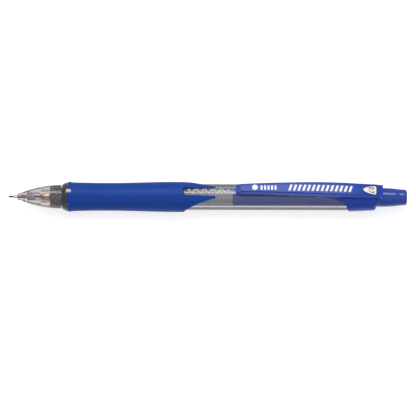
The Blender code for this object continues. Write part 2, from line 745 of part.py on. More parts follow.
def main():
    for obj in list(bpy.data.objects):
        bpy.data.objects.remove(obj)
    build_leads()
    build_nose()
    build_chuck()
    build_spring()
    tube("lead_tube", TUBE, finish("tube_plastic", (0.72, 0.73, 0.75, 0.45), 0.25))
    build_barrel()
    build_grip()
    build_sleeve()
    build_cap()
    build_clip()
    white = finish("badge_white", (0.9, 0.9, 0.88, 1), 0.35)
    badge_plate("size_badge", BADGE_INSET, 0.0, white)
    build_button()


main()
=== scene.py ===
"""The looks of a push-button mechanical pencil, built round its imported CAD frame.

Stations are millimetres along the pencil from the tip of its lead. Heights, sides and radii are
millimetres from the pencil's axis, and angles are degrees round it from the clip.
"""

import logging
import math
from collections.abc import Callable, Iterator, Sequence
from contextlib import contextmanager
from dataclasses import dataclass, field
from enum import Enum
from typing import Any

import bmesh
import bpy
import numpy as np
from mathutils import Matrix, Vector


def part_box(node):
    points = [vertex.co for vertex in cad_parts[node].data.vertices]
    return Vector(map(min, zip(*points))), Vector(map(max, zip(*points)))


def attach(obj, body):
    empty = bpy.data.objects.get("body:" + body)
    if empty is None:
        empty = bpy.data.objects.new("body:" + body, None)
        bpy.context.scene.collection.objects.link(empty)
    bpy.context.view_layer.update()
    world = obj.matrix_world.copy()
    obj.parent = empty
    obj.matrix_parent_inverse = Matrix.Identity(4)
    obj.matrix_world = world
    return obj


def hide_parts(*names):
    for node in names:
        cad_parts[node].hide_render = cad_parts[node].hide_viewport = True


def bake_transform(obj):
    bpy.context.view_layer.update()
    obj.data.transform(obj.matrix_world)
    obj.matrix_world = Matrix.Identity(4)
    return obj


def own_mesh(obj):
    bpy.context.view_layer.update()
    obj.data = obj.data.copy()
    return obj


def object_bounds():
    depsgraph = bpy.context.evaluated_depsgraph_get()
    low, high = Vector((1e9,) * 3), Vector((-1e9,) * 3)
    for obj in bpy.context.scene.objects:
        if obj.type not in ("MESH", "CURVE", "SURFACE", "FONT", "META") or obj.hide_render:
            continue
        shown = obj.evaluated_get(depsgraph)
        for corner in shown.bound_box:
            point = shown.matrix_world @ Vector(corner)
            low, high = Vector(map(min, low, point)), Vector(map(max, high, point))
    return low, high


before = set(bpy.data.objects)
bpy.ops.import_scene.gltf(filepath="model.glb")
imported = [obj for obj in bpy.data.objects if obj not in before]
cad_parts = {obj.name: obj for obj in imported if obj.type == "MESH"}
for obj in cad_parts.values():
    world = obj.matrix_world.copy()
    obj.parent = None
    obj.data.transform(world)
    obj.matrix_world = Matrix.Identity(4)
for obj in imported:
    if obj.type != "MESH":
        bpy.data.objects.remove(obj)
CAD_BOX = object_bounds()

LOG = logging.getLogger("pencil")
MM = 0.001
TIP_X = CAD_BOX[0].x
AXIS_Z = sum(corner.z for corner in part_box("lead_tube")) / 2
SAME_PLACE = 2e-7
# The strengths of the noise between which a finish goes from one colour, or gloss, to the other.
TONE_SPAN = (0.35, 0.65)
SCUFF_SPAN = (0.3, 0.7)
# How many times larger the scuffs are than the drift of the colour.
SCUFF_SIZE = 2.5
# What the wave pattern's scale is divided by to give one ring for each grain.
RING_SCALE = 20

Point = tuple[float, float]
Corner = tuple[float, float, float]
Places = tuple[np.ndarray, np.ndarray, np.ndarray]
Rule = Callable[[np.ndarray, np.ndarray, np.ndarray], Places]


class Body(Enum):
    """The rigid groups that the pencil's pieces move with."""

    HOLDER = "holder"
    CLIP = "clip"
    POINT = "point"
    NOSE = "nose"
    RING = "ring"
    LEAD_UNIT = "lead_unit"
    LEAD = "lead"
    SPARES = "spares"
    BUTTON = "button"


class Combine(Enum):
    """The ways in which one solid works on another."""

    JOIN = "UNION"
    CUT = "DIFFERENCE"


class Steps(Enum):
    """How finely a round piece is turned."""

    THIN = 32
    SMALL = 64
    LARGE = 128
    BROAD = 192


# ---------------------------------------------------------------- places and outlines


def at(station: float, side: float = 0.0, height: float = 0.0) -> Vector:
    """Return the world point of a station, side and height.

    Args:
        station: Millimetres from the tip of the lead.
        side: Millimetres sideways from the axis.
        height: Millimetres above the axis.

    Returns:
        The point in metres.
    """
    return Vector((TIP_X + station * MM, side * MM, AXIS_Z + height * MM))


def spread(first: float, last: float, count: int) -> list[float]:
    """Return count numbers evenly spaced from first to last."""
    return [float(value) for value in np.linspace(first, last, count)]


def rounded(corners: Sequence[Corner], steps: int = 4) -> list[Point]:
    """Round the corners of a closed outline.

    Args:
        corners: The outline's corners, each with the radius that rounds it.
        steps: How many edges each round takes.

    Returns:
        The outline's points.
    """
    outline: list[Point] = []
    for index, (x, y, radius) in enumerate(corners):
        here = np.array((x, y))
        before = np.array(corners[index - 1][:2]) - here
        after = np.array(corners[(index + 1) % len(corners)][:2]) - here
        if radius <= 0:
            outline.append((x, y))
            continue
        lengths = np.linalg.norm(before), np.linalg.norm(after)
        before, after = before / lengths[0], after / lengths[1]
        opening = math.acos(float(np.clip(before @ after, -1, 1)))
        reach = min(radius / math.tan(opening / 2), 0.49 * min(lengths))
        for share in np.linspace(0, 1, steps + 1):
            pull = before * reach * (1 - share) ** 2 + after * reach * share**2
            outline.append((float(here[0] + pull[0]), float(here[1] + pull[1])))
    return outline


# ---------------------------------------------------------------- modelling by hand


def activate(piece: bpy.types.Object) -> None:
    """Select one piece alone and make it the active one."""
    bpy.ops.object.select_all(action="DESELECT")
    piece.select_set(True)
    bpy.context.view_layer.objects.active = piece


@contextmanager
def editing(piece: bpy.types.Object, kind: str = "VERT") -> Iterator[bpy.types.Object]:
    """Open a piece in edit mode with all of it selected, and close it afterwards.

    Args:
        piece: The piece to work on.
        kind: VERT, EDGE or FACE.

    Yields:
        The piece.
    """
    activate(piece)
    bpy.ops.object.mode_set(mode="EDIT")
    bpy.ops.mesh.select_mode(type=kind)
    bpy.ops.mesh.select_all(action="SELECT")
    yield piece
    bpy.ops.object.mode_set(mode="OBJECT")


def choose(piece: bpy.types.Object, kind: str, wanted: Callable[[Any], bool]) -> None:
    """Select, in edit mode, only the elements that pass a test.

    Args:
        piece: The piece that is open in edit mode.
        kind: verts, edges or faces.
        wanted: The test, given one element.
    """
    bpy.ops.mesh.select_all(action="DESELECT")
    shape = bmesh.from_edit_mesh(piece.data)
    for element in list(getattr(shape, kind)):
        if wanted(element):
            element.select_set(True)
    bmesh.update_edit_mesh(piece.data)


def face_outward(merge: bool = True) -> None:
    """Turn all faces outward in edit mode, after merging points that share a place."""
    bpy.ops.mesh.select_all(action="SELECT")
    if merge:
        bpy.ops.mesh.remove_doubles(threshold=SAME_PLACE)
    bpy.ops.mesh.normals_make_consistent(inside=False)


def settle(piece: bpy.types.Object, smooth_below: float = 32.0) -> bpy.types.Object:
    """Put a piece's place into its mesh and shade its soft bends smooth.

    Args:
        piece: The piece.
        smooth_below: The bend in degrees from which an edge stays crisp.

    Returns:
        The piece.
    """
    activate(piece)
    bpy.ops.object.transform_apply(location=True, rotation=True, scale=True)
    bpy.ops.object.shade_smooth_by_angle(angle=math.radians(smooth_below))
    return piece


def seed(name: str, place: Vector) -> bpy.types.Object:
    """Add a plane and close it up to one point, from which a line is drawn.

    Args:
        name: The new piece's name.
        place: Where the point goes, in metres.

    Returns:
        The piece.
    """
    bpy.ops.object.select_all(action="DESELECT")
    bpy.ops.mesh.primitive_plane_add(size=MM, location=place)
    piece = bpy.context.object
    piece.name = piece.data.name = name
    with editing(piece):
        bpy.ops.mesh.merge(type="CENTER")
    return piece


def draw(piece: bpy.types.Object, moves: Sequence[Vector], closed: bool) -> None:
    """Extrude a seed along a line, and join its ends if it closes.

    Args:
        piece: The seed, open in edit mode.
        moves: The steps of the line, in metres.
        closed: Whether the last point is joined to the first.
    """
    for move in moves:
        bpy.ops.mesh.extrude_vertices_move(TRANSFORM_OT_translate={"value": move})
    if closed:
        last = len(moves)
        choose(piece, "verts", lambda point: point.index in (0, last))
        bpy.ops.mesh.edge_face_add()


def turned(
    name: str, profile: Sequence[Point], steps: Steps = Steps.LARGE, closed: bool = True
) -> bpy.types.Object:
    """Turn a profile about the pencil's axis.

    Args:
        name: The new piece's name.
        profile: Station and radius of each point.
        steps: How many faces go round.
        closed: False where the profile starts and ends on the axis.

    Returns:
        The closed solid.
    """
    piece = seed(name, at(profile[0][0], 0, profile[0][1]))
    moves = [
        Vector((after[0] - before[0], 0, after[1] - before[1])) * MM
        for before, after in zip(profile, profile[1:])
    ]
    with editing(piece):
        draw(piece, moves, closed)
        bpy.ops.mesh.select_all(action="SELECT")
        bpy.ops.mesh.spin(steps=steps.value, angle=math.tau, center=at(0), axis=(1, 0, 0))
        face_outward()
    return settle(piece)


def slab(name: str, outline: Sequence[Point], low: float, high: float) -> bpy.types.Object:
    """Raise an upright slab from its outline as seen from above.

    Args:
        name: The new piece's name.
        outline: Station and side of each point.
        low: Height of the underside.
        high: Height of the top.

    Returns:
        The closed slab.
    """
    piece = seed(name, at(outline[0][0], outline[0][1], low))
    moves = [
        Vector((after[0] - before[0], after[1] - before[1], 0)) * MM
        for before, after in zip(outline, outline[1:])
    ]
    with editing(piece):
        draw(piece, moves, closed=True)
        bpy.ops.mesh.select_all(action="SELECT")
        bpy.ops.mesh.edge_face_add()
        bpy.ops.mesh.extrude_region_move(
            TRANSFORM_OT_translate={"value": (0, 0, (high - low) * MM)}
        )
        face_outward(merge=False)
    return settle(piece)


def block(
    name: str, span: Point, half: float, corners: Point, heights: Point
) -> bpy.types.Object:
    """Raise a straight block that lies along the pencil.

    Args:
        name: The new piece's name.
        span: Stations of its front and rear.
        half: Half its width.
        corners: Radii of its front and rear upright edges.
        heights: Heights of its underside and top.

    Returns:
        The closed block.
    """
    right = [(station, half, corner) for station, corner in zip(span, corners)]
    left = [(station, -half, corner) for station, corner in zip(span, corners)]
    return slab(name, rounded(left + right[::-1]), *heights)


def leaning(
    front: float, width: float, sides: Point, lean: float, corner: float, steps: int = 4
) -> list[Point]:
    """Return the outline of a short bar that crosses the pencil aslant.

    Args:
        front: Station of its front corner.
        width: How long it is along the pencil.
        sides: Where it starts and ends across the pencil.
        lean: How much further back its far end stands.
        corner: The radius of its corners.
        steps: How many edges each corner takes.

    Returns:
        The outline's points.
    """
    near, far = ((front, front + width), (front + lean + width, front + lean))
    line = [(x, sides[0], corner) for x in near] + [(x, sides[1], corner) for x in far]
    return rounded(line, steps)


@dataclass(frozen=True)
class Section:
    """A rectangular section across a bar.

    Args:
        station: Where it stands.
        half: Half its width.
        low: Height of its underside.
        high: Height of its top.
    """

    station: float
    half: float
    low: float
    high: float


def lofted(name: str, sections: Sequence[Section]) -> bpy.types.Object:
    """Draw a bar through its sections by extruding and scaling one face.

    Args:
        name: The new piece's name.
        sections: The bar's sections from front to rear.

    Returns:
        The closed bar.
    """
    first = sections[0]
    bpy.ops.object.select_all(action="DESELECT")
    bpy.ops.mesh.primitive_plane_add(
        size=MM,
        location=at(first.station, 0, (first.low + first.high) / 2),
        rotation=(0, math.pi / 2, 0),
    )
    piece = bpy.context.object
    piece.name = piece.data.name = name
    piece.scale = (first.high - first.low, 2 * first.half, 1)
    bpy.ops.object.transform_apply(location=True, rotation=True, scale=True)
    with editing(piece, "FACE"):
        for before, after in zip(sections, sections[1:]):
            middle = (after.low + after.high) / 2
            rise = middle - (before.low + before.high) / 2
            bpy.ops.mesh.extrude_region_move(
                TRANSFORM_OT_translate={
                    "value": ((after.station - before.station) * MM, 0, rise * MM)
                }
            )
            taller = (after.high - after.low) / (before.high - before.low)
            bpy.ops.transform.resize(
                value=(1, after.half / before.half, taller),
                center_override=at(after.station, 0, middle),
            )
        face_outward(merge=False)
    return piece


def round_long_edges(piece: bpy.types.Object, radius: float, above: float) -> None:
    """Round the edges that run along a bar.

    Args:
        piece: The bar.
        radius: The rounding's radius.
        above: Only edges higher than this are rounded.
    """

    def runs_along(edge: Any) -> bool:
        """Tell whether an edge runs along the bar and lies high enough."""
        start, end = (point.co for point in edge.verts)
        direction = (end - start).normalized()
        sideways = abs((start.y + end.y) / 2) > 0.5 * MM
        return abs(direction.x) > 0.7 and sideways and min(start.z, end.z) > at(0, 0, above).z

    with editing(piece, "EDGE"):
        choose(piece, "edges", runs_along)
        bpy.ops.mesh.bevel(offset=radius * MM, segments=4, affect="EDGES")


def wire(name: str, line: Sequence[Vector], radius: float) -> bpy.types.Object:
    """Draw a round wire along a line.

    Args:
        name: The new piece's name.
        line: The wire's centre line, in metres.
        radius: The wire's radius.

    Returns:
        The wire as a closed mesh.
    """
    curve = bpy.data.curves.new(name, "CURVE")
    curve.dimensions = "3D"
    curve.bevel_depth = radius * MM
    curve.bevel_resolution = 3
    curve.use_fill_caps = True
    run = curve.splines.new("POLY")
    run.points.add(len(line) - 1)
    for point, place in zip(run.points, line):
        point.co = (*place, 1)
    piece = bpy.data.objects.new(name, curve)
    bpy.context.scene.collection.objects.link(piece)
    activate(piece)
    bpy.ops.object.convert(target="MESH")
    piece = bpy.context.object
    with editing(piece):
        face_outward()
    return settle(piece)


def reshape(piece: bpy.types.Object, rule: Rule) -> bpy.types.Object:
    """Move every point of a piece by a rule.

    Args:
        piece: The piece, with its place in its mesh.
        rule: Takes stations, sides and heights and returns the new ones.

    Returns:
        The piece.
    """
    flat = np.empty(len(piece.data.vertices) * 3)
    piece.data.vertices.foreach_get("co", flat)
    places = flat.reshape(-1, 3)
    moved = rule((places[:, 0] - TIP_X) / MM, places[:, 1] / MM, (places[:, 2] - AXIS_Z) / MM)
    places = np.stack((moved[0] * MM + TIP_X, moved[1] * MM, moved[2] * MM + AXIS_Z), axis=1)
    piece.data.vertices.foreach_set("co", places.ravel())
    piece.data.update()
    return piece


def turn_about(piece: bpy.types.Object, angle: float) -> bpy.types.Object:
    """Turn a piece about the pencil's axis by an angle in radians."""
    cosine, sine = math.cos(angle), math.sin(angle)
    return reshape(piece, lambda x, y, h: (x, y * cosine + h * sine, h * cosine - y * sine))


def combine(
    piece: bpy.types.Object, tool: bpy.types.Object, how: Combine = Combine.CUT
) -> bpy.types.Object:
    """Join another solid to a piece or cut it away, and use it up.

    Args:
        piece: The piece that stays.
        tool: The solid that works on it.
        how: Whether the tool is joined or cut away.

    Returns:
        The piece.
    """
    modifier = piece.modifiers.new("combine", "BOOLEAN")
    modifier.operation = how.value
    modifier.solver = "EXACT"
    modifier.object = tool
    activate(piece)
    bpy.ops.object.modifier_apply(modifier=modifier.name)
    bpy.data.objects.remove(tool)
    return piece


def gather(piece: bpy.types.Object, others: Sequence[bpy.types.Object]) -> bpy.types.Object:
    """Make separate shells one object, keeping each one's materials."""
    activate(piece)
    for other in others:
        other.select_set(True)
    bpy.ops.object.join()
    return piece


def copy_of(piece: bpy.types.Object, name: str) -> bpy.types.Object:
    """Copy a piece with its own mesh."""
    other = bpy.data.objects.new(name, piece.data.copy())
    other.data.name = name
    bpy.context.scene.collection.objects.link(other)
    return other


# ---------------------------------------------------------------- finishes


def linear(colour: str, alpha: float = 1.0) -> tuple[float, float, float, float]:
    """Turn an sRGB hex colour into linear values.

    Args:
        colour: Six hex digits.
        alpha: The fourth value.

    Returns:
        Red, green, blue and alpha.
    """
    shares = [int(colour[place : place + 2], 16) / 255 for place in (0, 2, 4)]
    red, green, blue = (
        share / 12.92 if share <= 0.04045 else ((share + 0.055) / 1.055) ** 2.4 for share in shares
    )
    return red, green, blue, alpha


def add_node(
    tree: bpy.types.NodeTree, kind: str, settings: dict[Any, Any], links: dict[Any, Any]
) -> bpy.types.Node:
    """Add a node with its settings and links.

    Args:
        tree: The material's nodes.
        kind: The node's type.
        settings: Values by socket name, socket number or property name.
        links: Sockets of other nodes by this node's socket name or number.

    Returns:
        The node.
    """
    node = tree.nodes.new(kind)
    for key, value in settings.items():
        if isinstance(key, int) or key in node.inputs:
            node.inputs[key].default_value = value
        else:
            setattr(node, key, value)
    for key, socket in links.items():
        tree.links.new(socket, node.inputs[key])
    return node


def noise(
    tree: bpy.types.NodeTree, place: Any, size: float, detail: float, rough: float = 0.5
) -> Any:
    """Return the socket of soft noise.

    Args:
        tree: The material's nodes.
        place: The socket that gives the place on the pencil.
        size: Its size in millimetres.
        detail: How many finer layers it has.
        rough: How strong the finer layers are.

    Returns:
        The noise's socket, from 0 to 1.
    """
    settings = {"Scale": 1 / (size * MM), "Detail": detail, "Roughness": rough}
    return add_node(tree, "ShaderNodeTexNoise", settings, {"Vector": place}).outputs["Fac"]


def ramp(tree: bpy.types.NodeTree, value: Any, span: Point, ends: Point = (0.0, 1.0)) -> Any:
    """Stretch a value.

    Args:
        tree: The nodes.
        value: The value's socket.
        span: Where the value starts and ends.
        ends: What it is stretched to there.

    Returns:
        The stretched value's socket.
    """
    names = ("From Min", "From Max", "To Min", "To Max")
    settings = dict(zip(names, (*span, *ends)))
    return add_node(tree, "ShaderNodeMapRange", settings, {"Value": value}).outputs["Result"]


@dataclass(frozen=True)
class Finish:
    """A material, named for what it is and how its surface was made.

    Args:
        name: The material's name.
        colour: Its sRGB colour.
        tone: A second colour that drifts through the first.
        drift: Size of the drift in millimetres.
        gloss: Lowest and highest roughness.
        grain: Size of the surface's grain in millimetres.
        relief: Height of the grain in millimetres.
        metallic: 1 for bare metal.
        ior: Index of refraction.
        transmission: How much light goes through.
        shine: Specular level, lower for a dull moulded skin.
        stretch: How many times longer the drift is along the pencil than round it.
        edge: The sRGB colour of painted shade that a clear wall darkens to where it is seen aslant,
            if any: shade seen through the wall near its rims, painted on.
        edge_shade_span: The slants, from 0 to 1, between which the painted shade comes in.
    """

    name: str
    colour: str
    tone: str
    drift: float
    gloss: tuple[float, float]
    grain: float
    relief: float
    metallic: float = 0.0
    ior: float = 1.5
    transmission: float = 0.0
    shine: float = 0.5
    stretch: float = 1.0
    edge: str = ""
    edge_shade_span: tuple[float, float] = (0.25, 0.5)

    def colour_of(self, tree: bpy.types.NodeTree, place: Any) -> Any:
        """Mix the two colours in soft drifts.

        Args:
            tree: The material's nodes.
            place: The socket that gives the place on the pencil.

        Returns:
            The colour's socket.
        """
        drift = noise(tree, place, self.drift, 3.0, 0.6)
        ends = {"data_type": "RGBA", 6: linear(self.colour), 7: linear(self.tone)}
        share = ramp(tree, drift, TONE_SPAN)
        mix = add_node(tree, "ShaderNodeMix", ends, {0: share})
        return self.with_painted_edge_shade(tree, mix.outputs[2]) if self.edge else mix.outputs[2]

    def with_painted_edge_shade(self, tree: bpy.types.NodeTree, colour: Any) -> Any:
        """Paint shade onto a colour where the wall is seen aslant.

        Args:
            tree: The material's nodes.
            colour: The colour's socket.

        Returns:
            The colour's socket, with the painted shade.
        """
        # Painted shade: the colour goes to the edge colour where the wall is seen aslant, standing
        # in for shade seen through the wall near its rims.
        slant = add_node(tree, "ShaderNodeLayerWeight", {"Blend": 0.5}, {})
        share = ramp(tree, slant.outputs["Facing"], self.edge_shade_span)
        ends = {"data_type": "RGBA", 7: linear(self.edge)}
        return add_node(tree, "ShaderNodeMix", ends, {0: share, 6: colour}).outputs[2]

    def height_of(self, tree: bpy.types.NodeTree, place: Any) -> Any:
        """Return the socket of the grain's height, from 0 to 1."""
        return noise(tree, place, self.grain, 2.0)

    def build(self) -> bpy.types.Material:
        """Make the material.

        Returns:
            The material.
        """
        material = bpy.data.materials.new(self.name)
        material.use_nodes = True
        tree = material.node_tree
        shader = tree.nodes["Principled BSDF"]
        plain = {
            "Metallic": self.metallic,
            "IOR": self.ior,
            "Transmission Weight": self.transmission,
            "Specular IOR Level": self.shine,
        }
        for key, value in plain.items():
            shader.inputs[key].default_value = value
        places = add_node(tree, "ShaderNodeTexCoord", {}, {})
        squeeze = {"Scale": (1 / self.stretch, 1, 1), "Location": (0, 0, -AXIS_Z)}
        along = add_node(tree, "ShaderNodeMapping", squeeze, {"Vector": places.outputs["Object"]})
        place = along.outputs["Vector"]
        tree.links.new(self.colour_of(tree, place), shader.inputs["Base Color"])
        scuffs = noise(tree, place, SCUFF_SIZE * self.drift, 4.0)
        rough = ramp(tree, scuffs, SCUFF_SPAN, self.gloss)
        tree.links.new(rough, shader.inputs["Roughness"])
        depth = {"Strength": 1.0, "Distance": self.relief * MM}
        bump = add_node(tree, "ShaderNodeBump", depth, {"Height": self.height_of(tree, place)})
        tree.links.new(bump.outputs["Normal"], shader.inputs["Normal"])
        return material


@dataclass(frozen=True)
class TurnedFinish(Finish):
    """A finish cut on a lathe, whose grain is fine rings round the pencil."""

    def height_of(self, tree: bpy.types.NodeTree, place: Any) -> Any:
        """Return the socket of the tool rings' height."""
        rings = {"bands_direction": "X", "Scale": 1 / (self.grain * MM) / RING_SCALE}
        rings |= {"Distortion": 0.6, "Detail": 2.0}
        return add_node(tree, "ShaderNodeTexWave", rings, {"Vector": place}).outputs["Fac"]


class Shelf:
    """The pencil's finishes, each made once."""

    def __init__(self) -> None:
        """Start with an empty shelf."""
        self._made: dict[str, bpy.types.Material] = {}

    def take(self, finish: Finish) -> bpy.types.Material:
        """Return the finish's material, and make it the first time."""
        if finish.name not in self._made:
            self._made[finish.name] = finish.build()
        return self._made[finish.name]


SHELF = Shelf()

# Extruded polymer-bonded graphite: almost black, with the grey shine of its flakes.
GRAPHITE = Finish("extruded_graphite", "3a3a40", "55555c", 0.3, (0.32, 0.5), 0.06, 0.004, 0.35)
# Drawn stainless pipe: bright, with faint rings left by the cut.
STEEL = TurnedFinish(
    "drawn_stainless_steel", "c9c2bd", "aaa29c", 1.0, (0.18, 0.3), 0.12, 0.002, 1.0
)
# Hard-drawn spring wire: grey steel with a dull oiled skin.
SPRING_WIRE = Finish("drawn_spring_wire", "a3a3a6", "84848a", 0.6, (0.25, 0.4), 0.1, 0.002, 1.0)
# Turned brass: warm yellow with tool rings and a little brown tarnish.
BRASS = TurnedFinish("turned_brass", "d2b98f", "b99b70", 0.8, (0.2, 0.34), 0.14, 0.003, 1.0)
# Polished brass ring: smoother than the chuck, and paler and brighter in colour as a painted
# highlight.
BRASS_PAINTED_HIGHLIGHT = TurnedFinish("polished_brass_painted_highlight", "f4e4c4", "e4cc9c", 0.9, (0.12, 0.22), 0.14, 0.002, 1.0)
# Smoke-tinted polycarbonate, moulded and polished: clear with a pinkish-grey cast, its walls
# darkened with painted shade where seen aslant, partly the tint's loss along the longer path.
SMOKE = Finish(
    "smoke_polycarbonate", "ded5d9", "d8ced2", 6.0, (0.02, 0.05), 1.5, 0.0015, ior=1.58,
    transmission=1.0, edge="5b565e", edge_shade_span=(0.25, 0.65),
)
# Clear styrene resin, moulded and polished: faintly grey glassy walls, turned darker grey with
# painted shade where they are seen aslant, standing in for the shade seen through them.
CLEAR = Finish(
    "clear_styrene", "eeeff1", "e8e9ec", 8.0, (0.02, 0.05), 2.0, 0.0015, ior=1.57,
    transmission=1.0, stretch=4.0, edge="2c2e36", edge_shade_span=(0.2, 0.42),
)
# Clear styrene with a matt, as-moulded surface: pale grey where it catches light.
MATT_CLEAR = Finish(
    "matt_styrene", "d4d5d8", "c8c9cd", 3.0, (0.3, 0.4), 0.4, 0.002, ior=1.57, transmission=0.3,
)
# Smoke polycarbonate with a matt, threaded inner wall: dull grey with lighter crests.
MATT_SMOKE = Finish(
    "matt_smoke_polycarbonate", "a19fa4", "939197", 3.0, (0.25, 0.35), 0.4, 0.002, ior=1.58,
    transmission=0.3,
)
# The barrel's clear styrene coloured dark glassy grey on its thick flange: painted shade for the
# light lost there.
PAINTED_SHADE_STYRENE = Finish(
    "painted_shade_styrene", "3c404b", "34373f", 3.0, (0.06, 0.12), 1.0, 0.001, ior=1.57,
    transmission=0.4,
)
# Natural polypropylene tube: milky, so that what is inside only glimmers.
FROSTED = Finish(
    "frosted_polypropylene", "f6f6f8", "eeeef1", 5.0, (0.28, 0.36), 0.4, 0.002, ior=1.49,
    transmission=0.3, stretch=6.0,
)
# Blue-tinted styrene sleeve: pale, cloudy and nearly opaque.
BLUE_SLEEVE = Finish(
    "tinted_blue_styrene", "5674f4", "516eee", 6.0, (0.12, 0.2), 0.8, 0.001, ior=1.57,
    transmission=0.05, shine=0.3, stretch=4.0,
)
# Translucent blue polycarbonate, moulded and polished: deep blue with a softened gloss.
BLUE_CAP = Finish(
    "translucent_blue_polycarbonate", "1846b4", "1541aa", 7.0, (0.14, 0.22), 1.2, 0.001,
    ior=1.5, transmission=0.12, shine=0.3, stretch=3.0,
)
# Opaque blue styrene button, polished to a mirror skin.
BLUE_BUTTON = Finish(
    "polished_blue_styrene", "063ea2", "053a98", 5.0, (0.05, 0.09), 0.9, 0.0006, ior=1.5,
    shine=0.6, stretch=2.0,
)
# Moulded thermoplastic rubber: saturated blue with a fine satin grain.
RUBBER = Finish(
    "moulded_blue_rubber", "09409c", "083b92", 4.0, (0.42, 0.55), 0.12, 0.006, ior=1.45,
    shine=0.25, stretch=2.0,
)
# Silicone rubber: pale, soft and matt.
SILICONE = Finish("silicone_rubber", "fdf6f8", "f6eef1", 1.5, (0.35, 0.5), 0.15, 0.004, ior=1.42)
# Grey acetal: slippery moulded plastic with a low sheen.
GREY_ACETAL = Finish("grey_acetal", "b4b4b9", "a9a9af", 2.0, (0.3, 0.45), 0.25, 0.003, ior=1.48)
# White acetal: bright, waxy moulded plastic.
WHITE_ACETAL = Finish("white_acetal", "dcdcda", "d0d0cf", 2.0, (0.3, 0.42), 0.25, 0.003, ior=1.48)
# White styrene plate with a glossy face.
WHITE_PLATE = Finish("white_styrene", "f4f1ec", "ebe7e1", 1.2, (0.2, 0.3), 0.3, 0.001)
# Dark printing ink, thin and satin.
DARK_INK = Finish("dark_blue_ink", "22263a", "2b2f45", 0.5, (0.4, 0.55), 0.1, 0.001)
# White pad-printed ink, opaque with slightly uneven cover.
WHITE_INK = Finish("white_printed_ink", "ffffff", "f0f1f4", 0.7, (0.3, 0.45), 0.12, 0.001)
# Vinyl eraser: white, matt and powdery.
VINYL = Finish("white_vinyl_eraser", "f1efec", "e6e3df", 0.8, (0.6, 0.8), 0.1, 0.01)
# Drawn aluminium cup: pale grey with drawing rings.
ALUMINIUM = TurnedFinish("drawn_aluminium", "d8d8da", "c4c4c8", 1.0, (0.2, 0.35), 0.2, 0.002, 1.0)


# ---------------------------------------------------------------- the pencil's sub-assemblies


@dataclass
class SubAssembly:
    """What all sub-assemblies share: their pieces and how a piece is handed to the frame."""

    pieces: list[bpy.types.Object] = field(default_factory=list, init=False)

    def keep(
        self, piece: bpy.types.Object, body: Body | tuple[Body, Body], slot: str, *nodes: str
    ) -> bpy.types.Object:
        """Hand a finished piece to the frame.

        Args:
            piece: The piece.
            body: The body that it rides on; a pair of bodies, for a piece that flexes between them,
            is not attached to either.
            slot: The record's finish slot; not used.
            nodes: The CAD nodes that it stands for.

        Returns:
            The piece.
        """
        if isinstance(body, Body):
            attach(piece, body.value)
        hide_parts(*nodes)
        self.pieces.append(piece)
        LOG.info("%s: %d faces", piece.name, len(piece.data.polygons))
        return piece

    def dress(self, piece: bpy.types.Object, *finishes: Finish) -> bpy.types.Object:
        """Give a piece its finishes, the first for all of it, and return it."""
        piece.data.materials.clear()
        for finish in finishes:
            piece.data.materials.append(SHELF.take(finish))
        return piece


@dataclass
class Leads(SubAssembly):
    """The lead in use and the loose spares behind it."""

    radius: float = 0.35
    blunt: float = 0.12
    length: float = 60.0
    spare_front: float = 63.0
    spare_ring: float = 1.15
    spares: int = 3

    def stick(self, name: str, front: float) -> bpy.types.Object:
        """Turn one stick of lead with a blunted front end."""
        rear = front + self.length
        profile = [(front, 0.0), (front, self.radius - self.blunt)]
        profile += [(front + self.blunt * 0.35, self.radius - 0.035)]
        profile += [(front + self.blunt, self.radius)]
        profile += [(station, self.radius) for station in spread(front + 1, rear - 0.03, 12)]
        profile += [(rear, self.radius - 0.03), (rear, 0.0)]
        return turned(name, profile, Steps.THIN, closed=False)

    def build(self) -> None:
        """Make the lead in use, then lay copies of a stick round the tube."""
        lead = self.stick("graphite_lead", 0.0)
        self.keep(self.dress(lead, GRAPHITE), Body.LEAD, "lead", "lead_in_use")
        pattern = self.stick("spare_lead", self.spare_front)
        for index in range(self.spares):
            angle = math.tau * (index + 0.5) / self.spares
            spare = copy_of(pattern, f"spare_graphite_{index + 1}")
            across, up = self.spare_ring * math.sin(angle), self.spare_ring * math.cos(angle)
            reshape(spare, lambda x, y, h: (x, y + across, h + up))
            self.keep(self.dress(spare, GRAPHITE), Body.SPARES, "lead", f"spare_lead_{index + 1}")
        bpy.data.objects.remove(pattern)


@dataclass
class WritingPoint(SubAssembly):
    """The steel pipe that guides the lead, and the rubber that holds it."""

    pipe_front: float = 1.6
    pipe_rear: float = 6.3
    pipe_outer: float = 0.53
    pipe_inner: float = 0.42
    rubber_front: float = 6.45
    rubber_rear: float = 10.05
    rubber_outer: float = 1.36
    rubber_inner: float = 0.39

    def build(self) -> None:
        """Turn the pipe and the retainer."""
        pipe = turned(
            "steel_pipe",
            rounded([
                (self.pipe_front, self.pipe_inner, 0.02), (self.pipe_front, self.pipe_outer, 0.07),
                (self.pipe_rear, self.pipe_outer, 0.03), (self.pipe_rear, self.pipe_inner, 0.02),
            ]),
            Steps.SMALL,
        )
        self.keep(self.dress(pipe, STEEL), Body.POINT, "steel", "lead_pipe")
        waist = self.rubber_outer - 0.16
        retainer = turned(
            "lead_retainer_rubber",
            rounded([
                (self.rubber_front, self.rubber_inner, 0.03),
                (self.rubber_front + 0.45, self.rubber_outer, 0.05),
                (self.rubber_front + 1.0, self.rubber_outer, 0.08),
                (self.rubber_front + 1.2, waist, 0.08), (self.rubber_rear - 1.2, waist, 0.08),
                (self.rubber_rear - 1.0, self.rubber_outer, 0.08),
                (self.rubber_rear, self.rubber_outer, 0.15),
                (self.rubber_rear, self.rubber_inner + 0.25, 0.05),
                (self.rubber_rear - 0.5, self.rubber_inner, 0.05),
            ]),
            Steps.SMALL,
        )
        self.keep(self.dress(retainer, SILICONE), Body.POINT, "retainer_rubber", "lead_retainer")


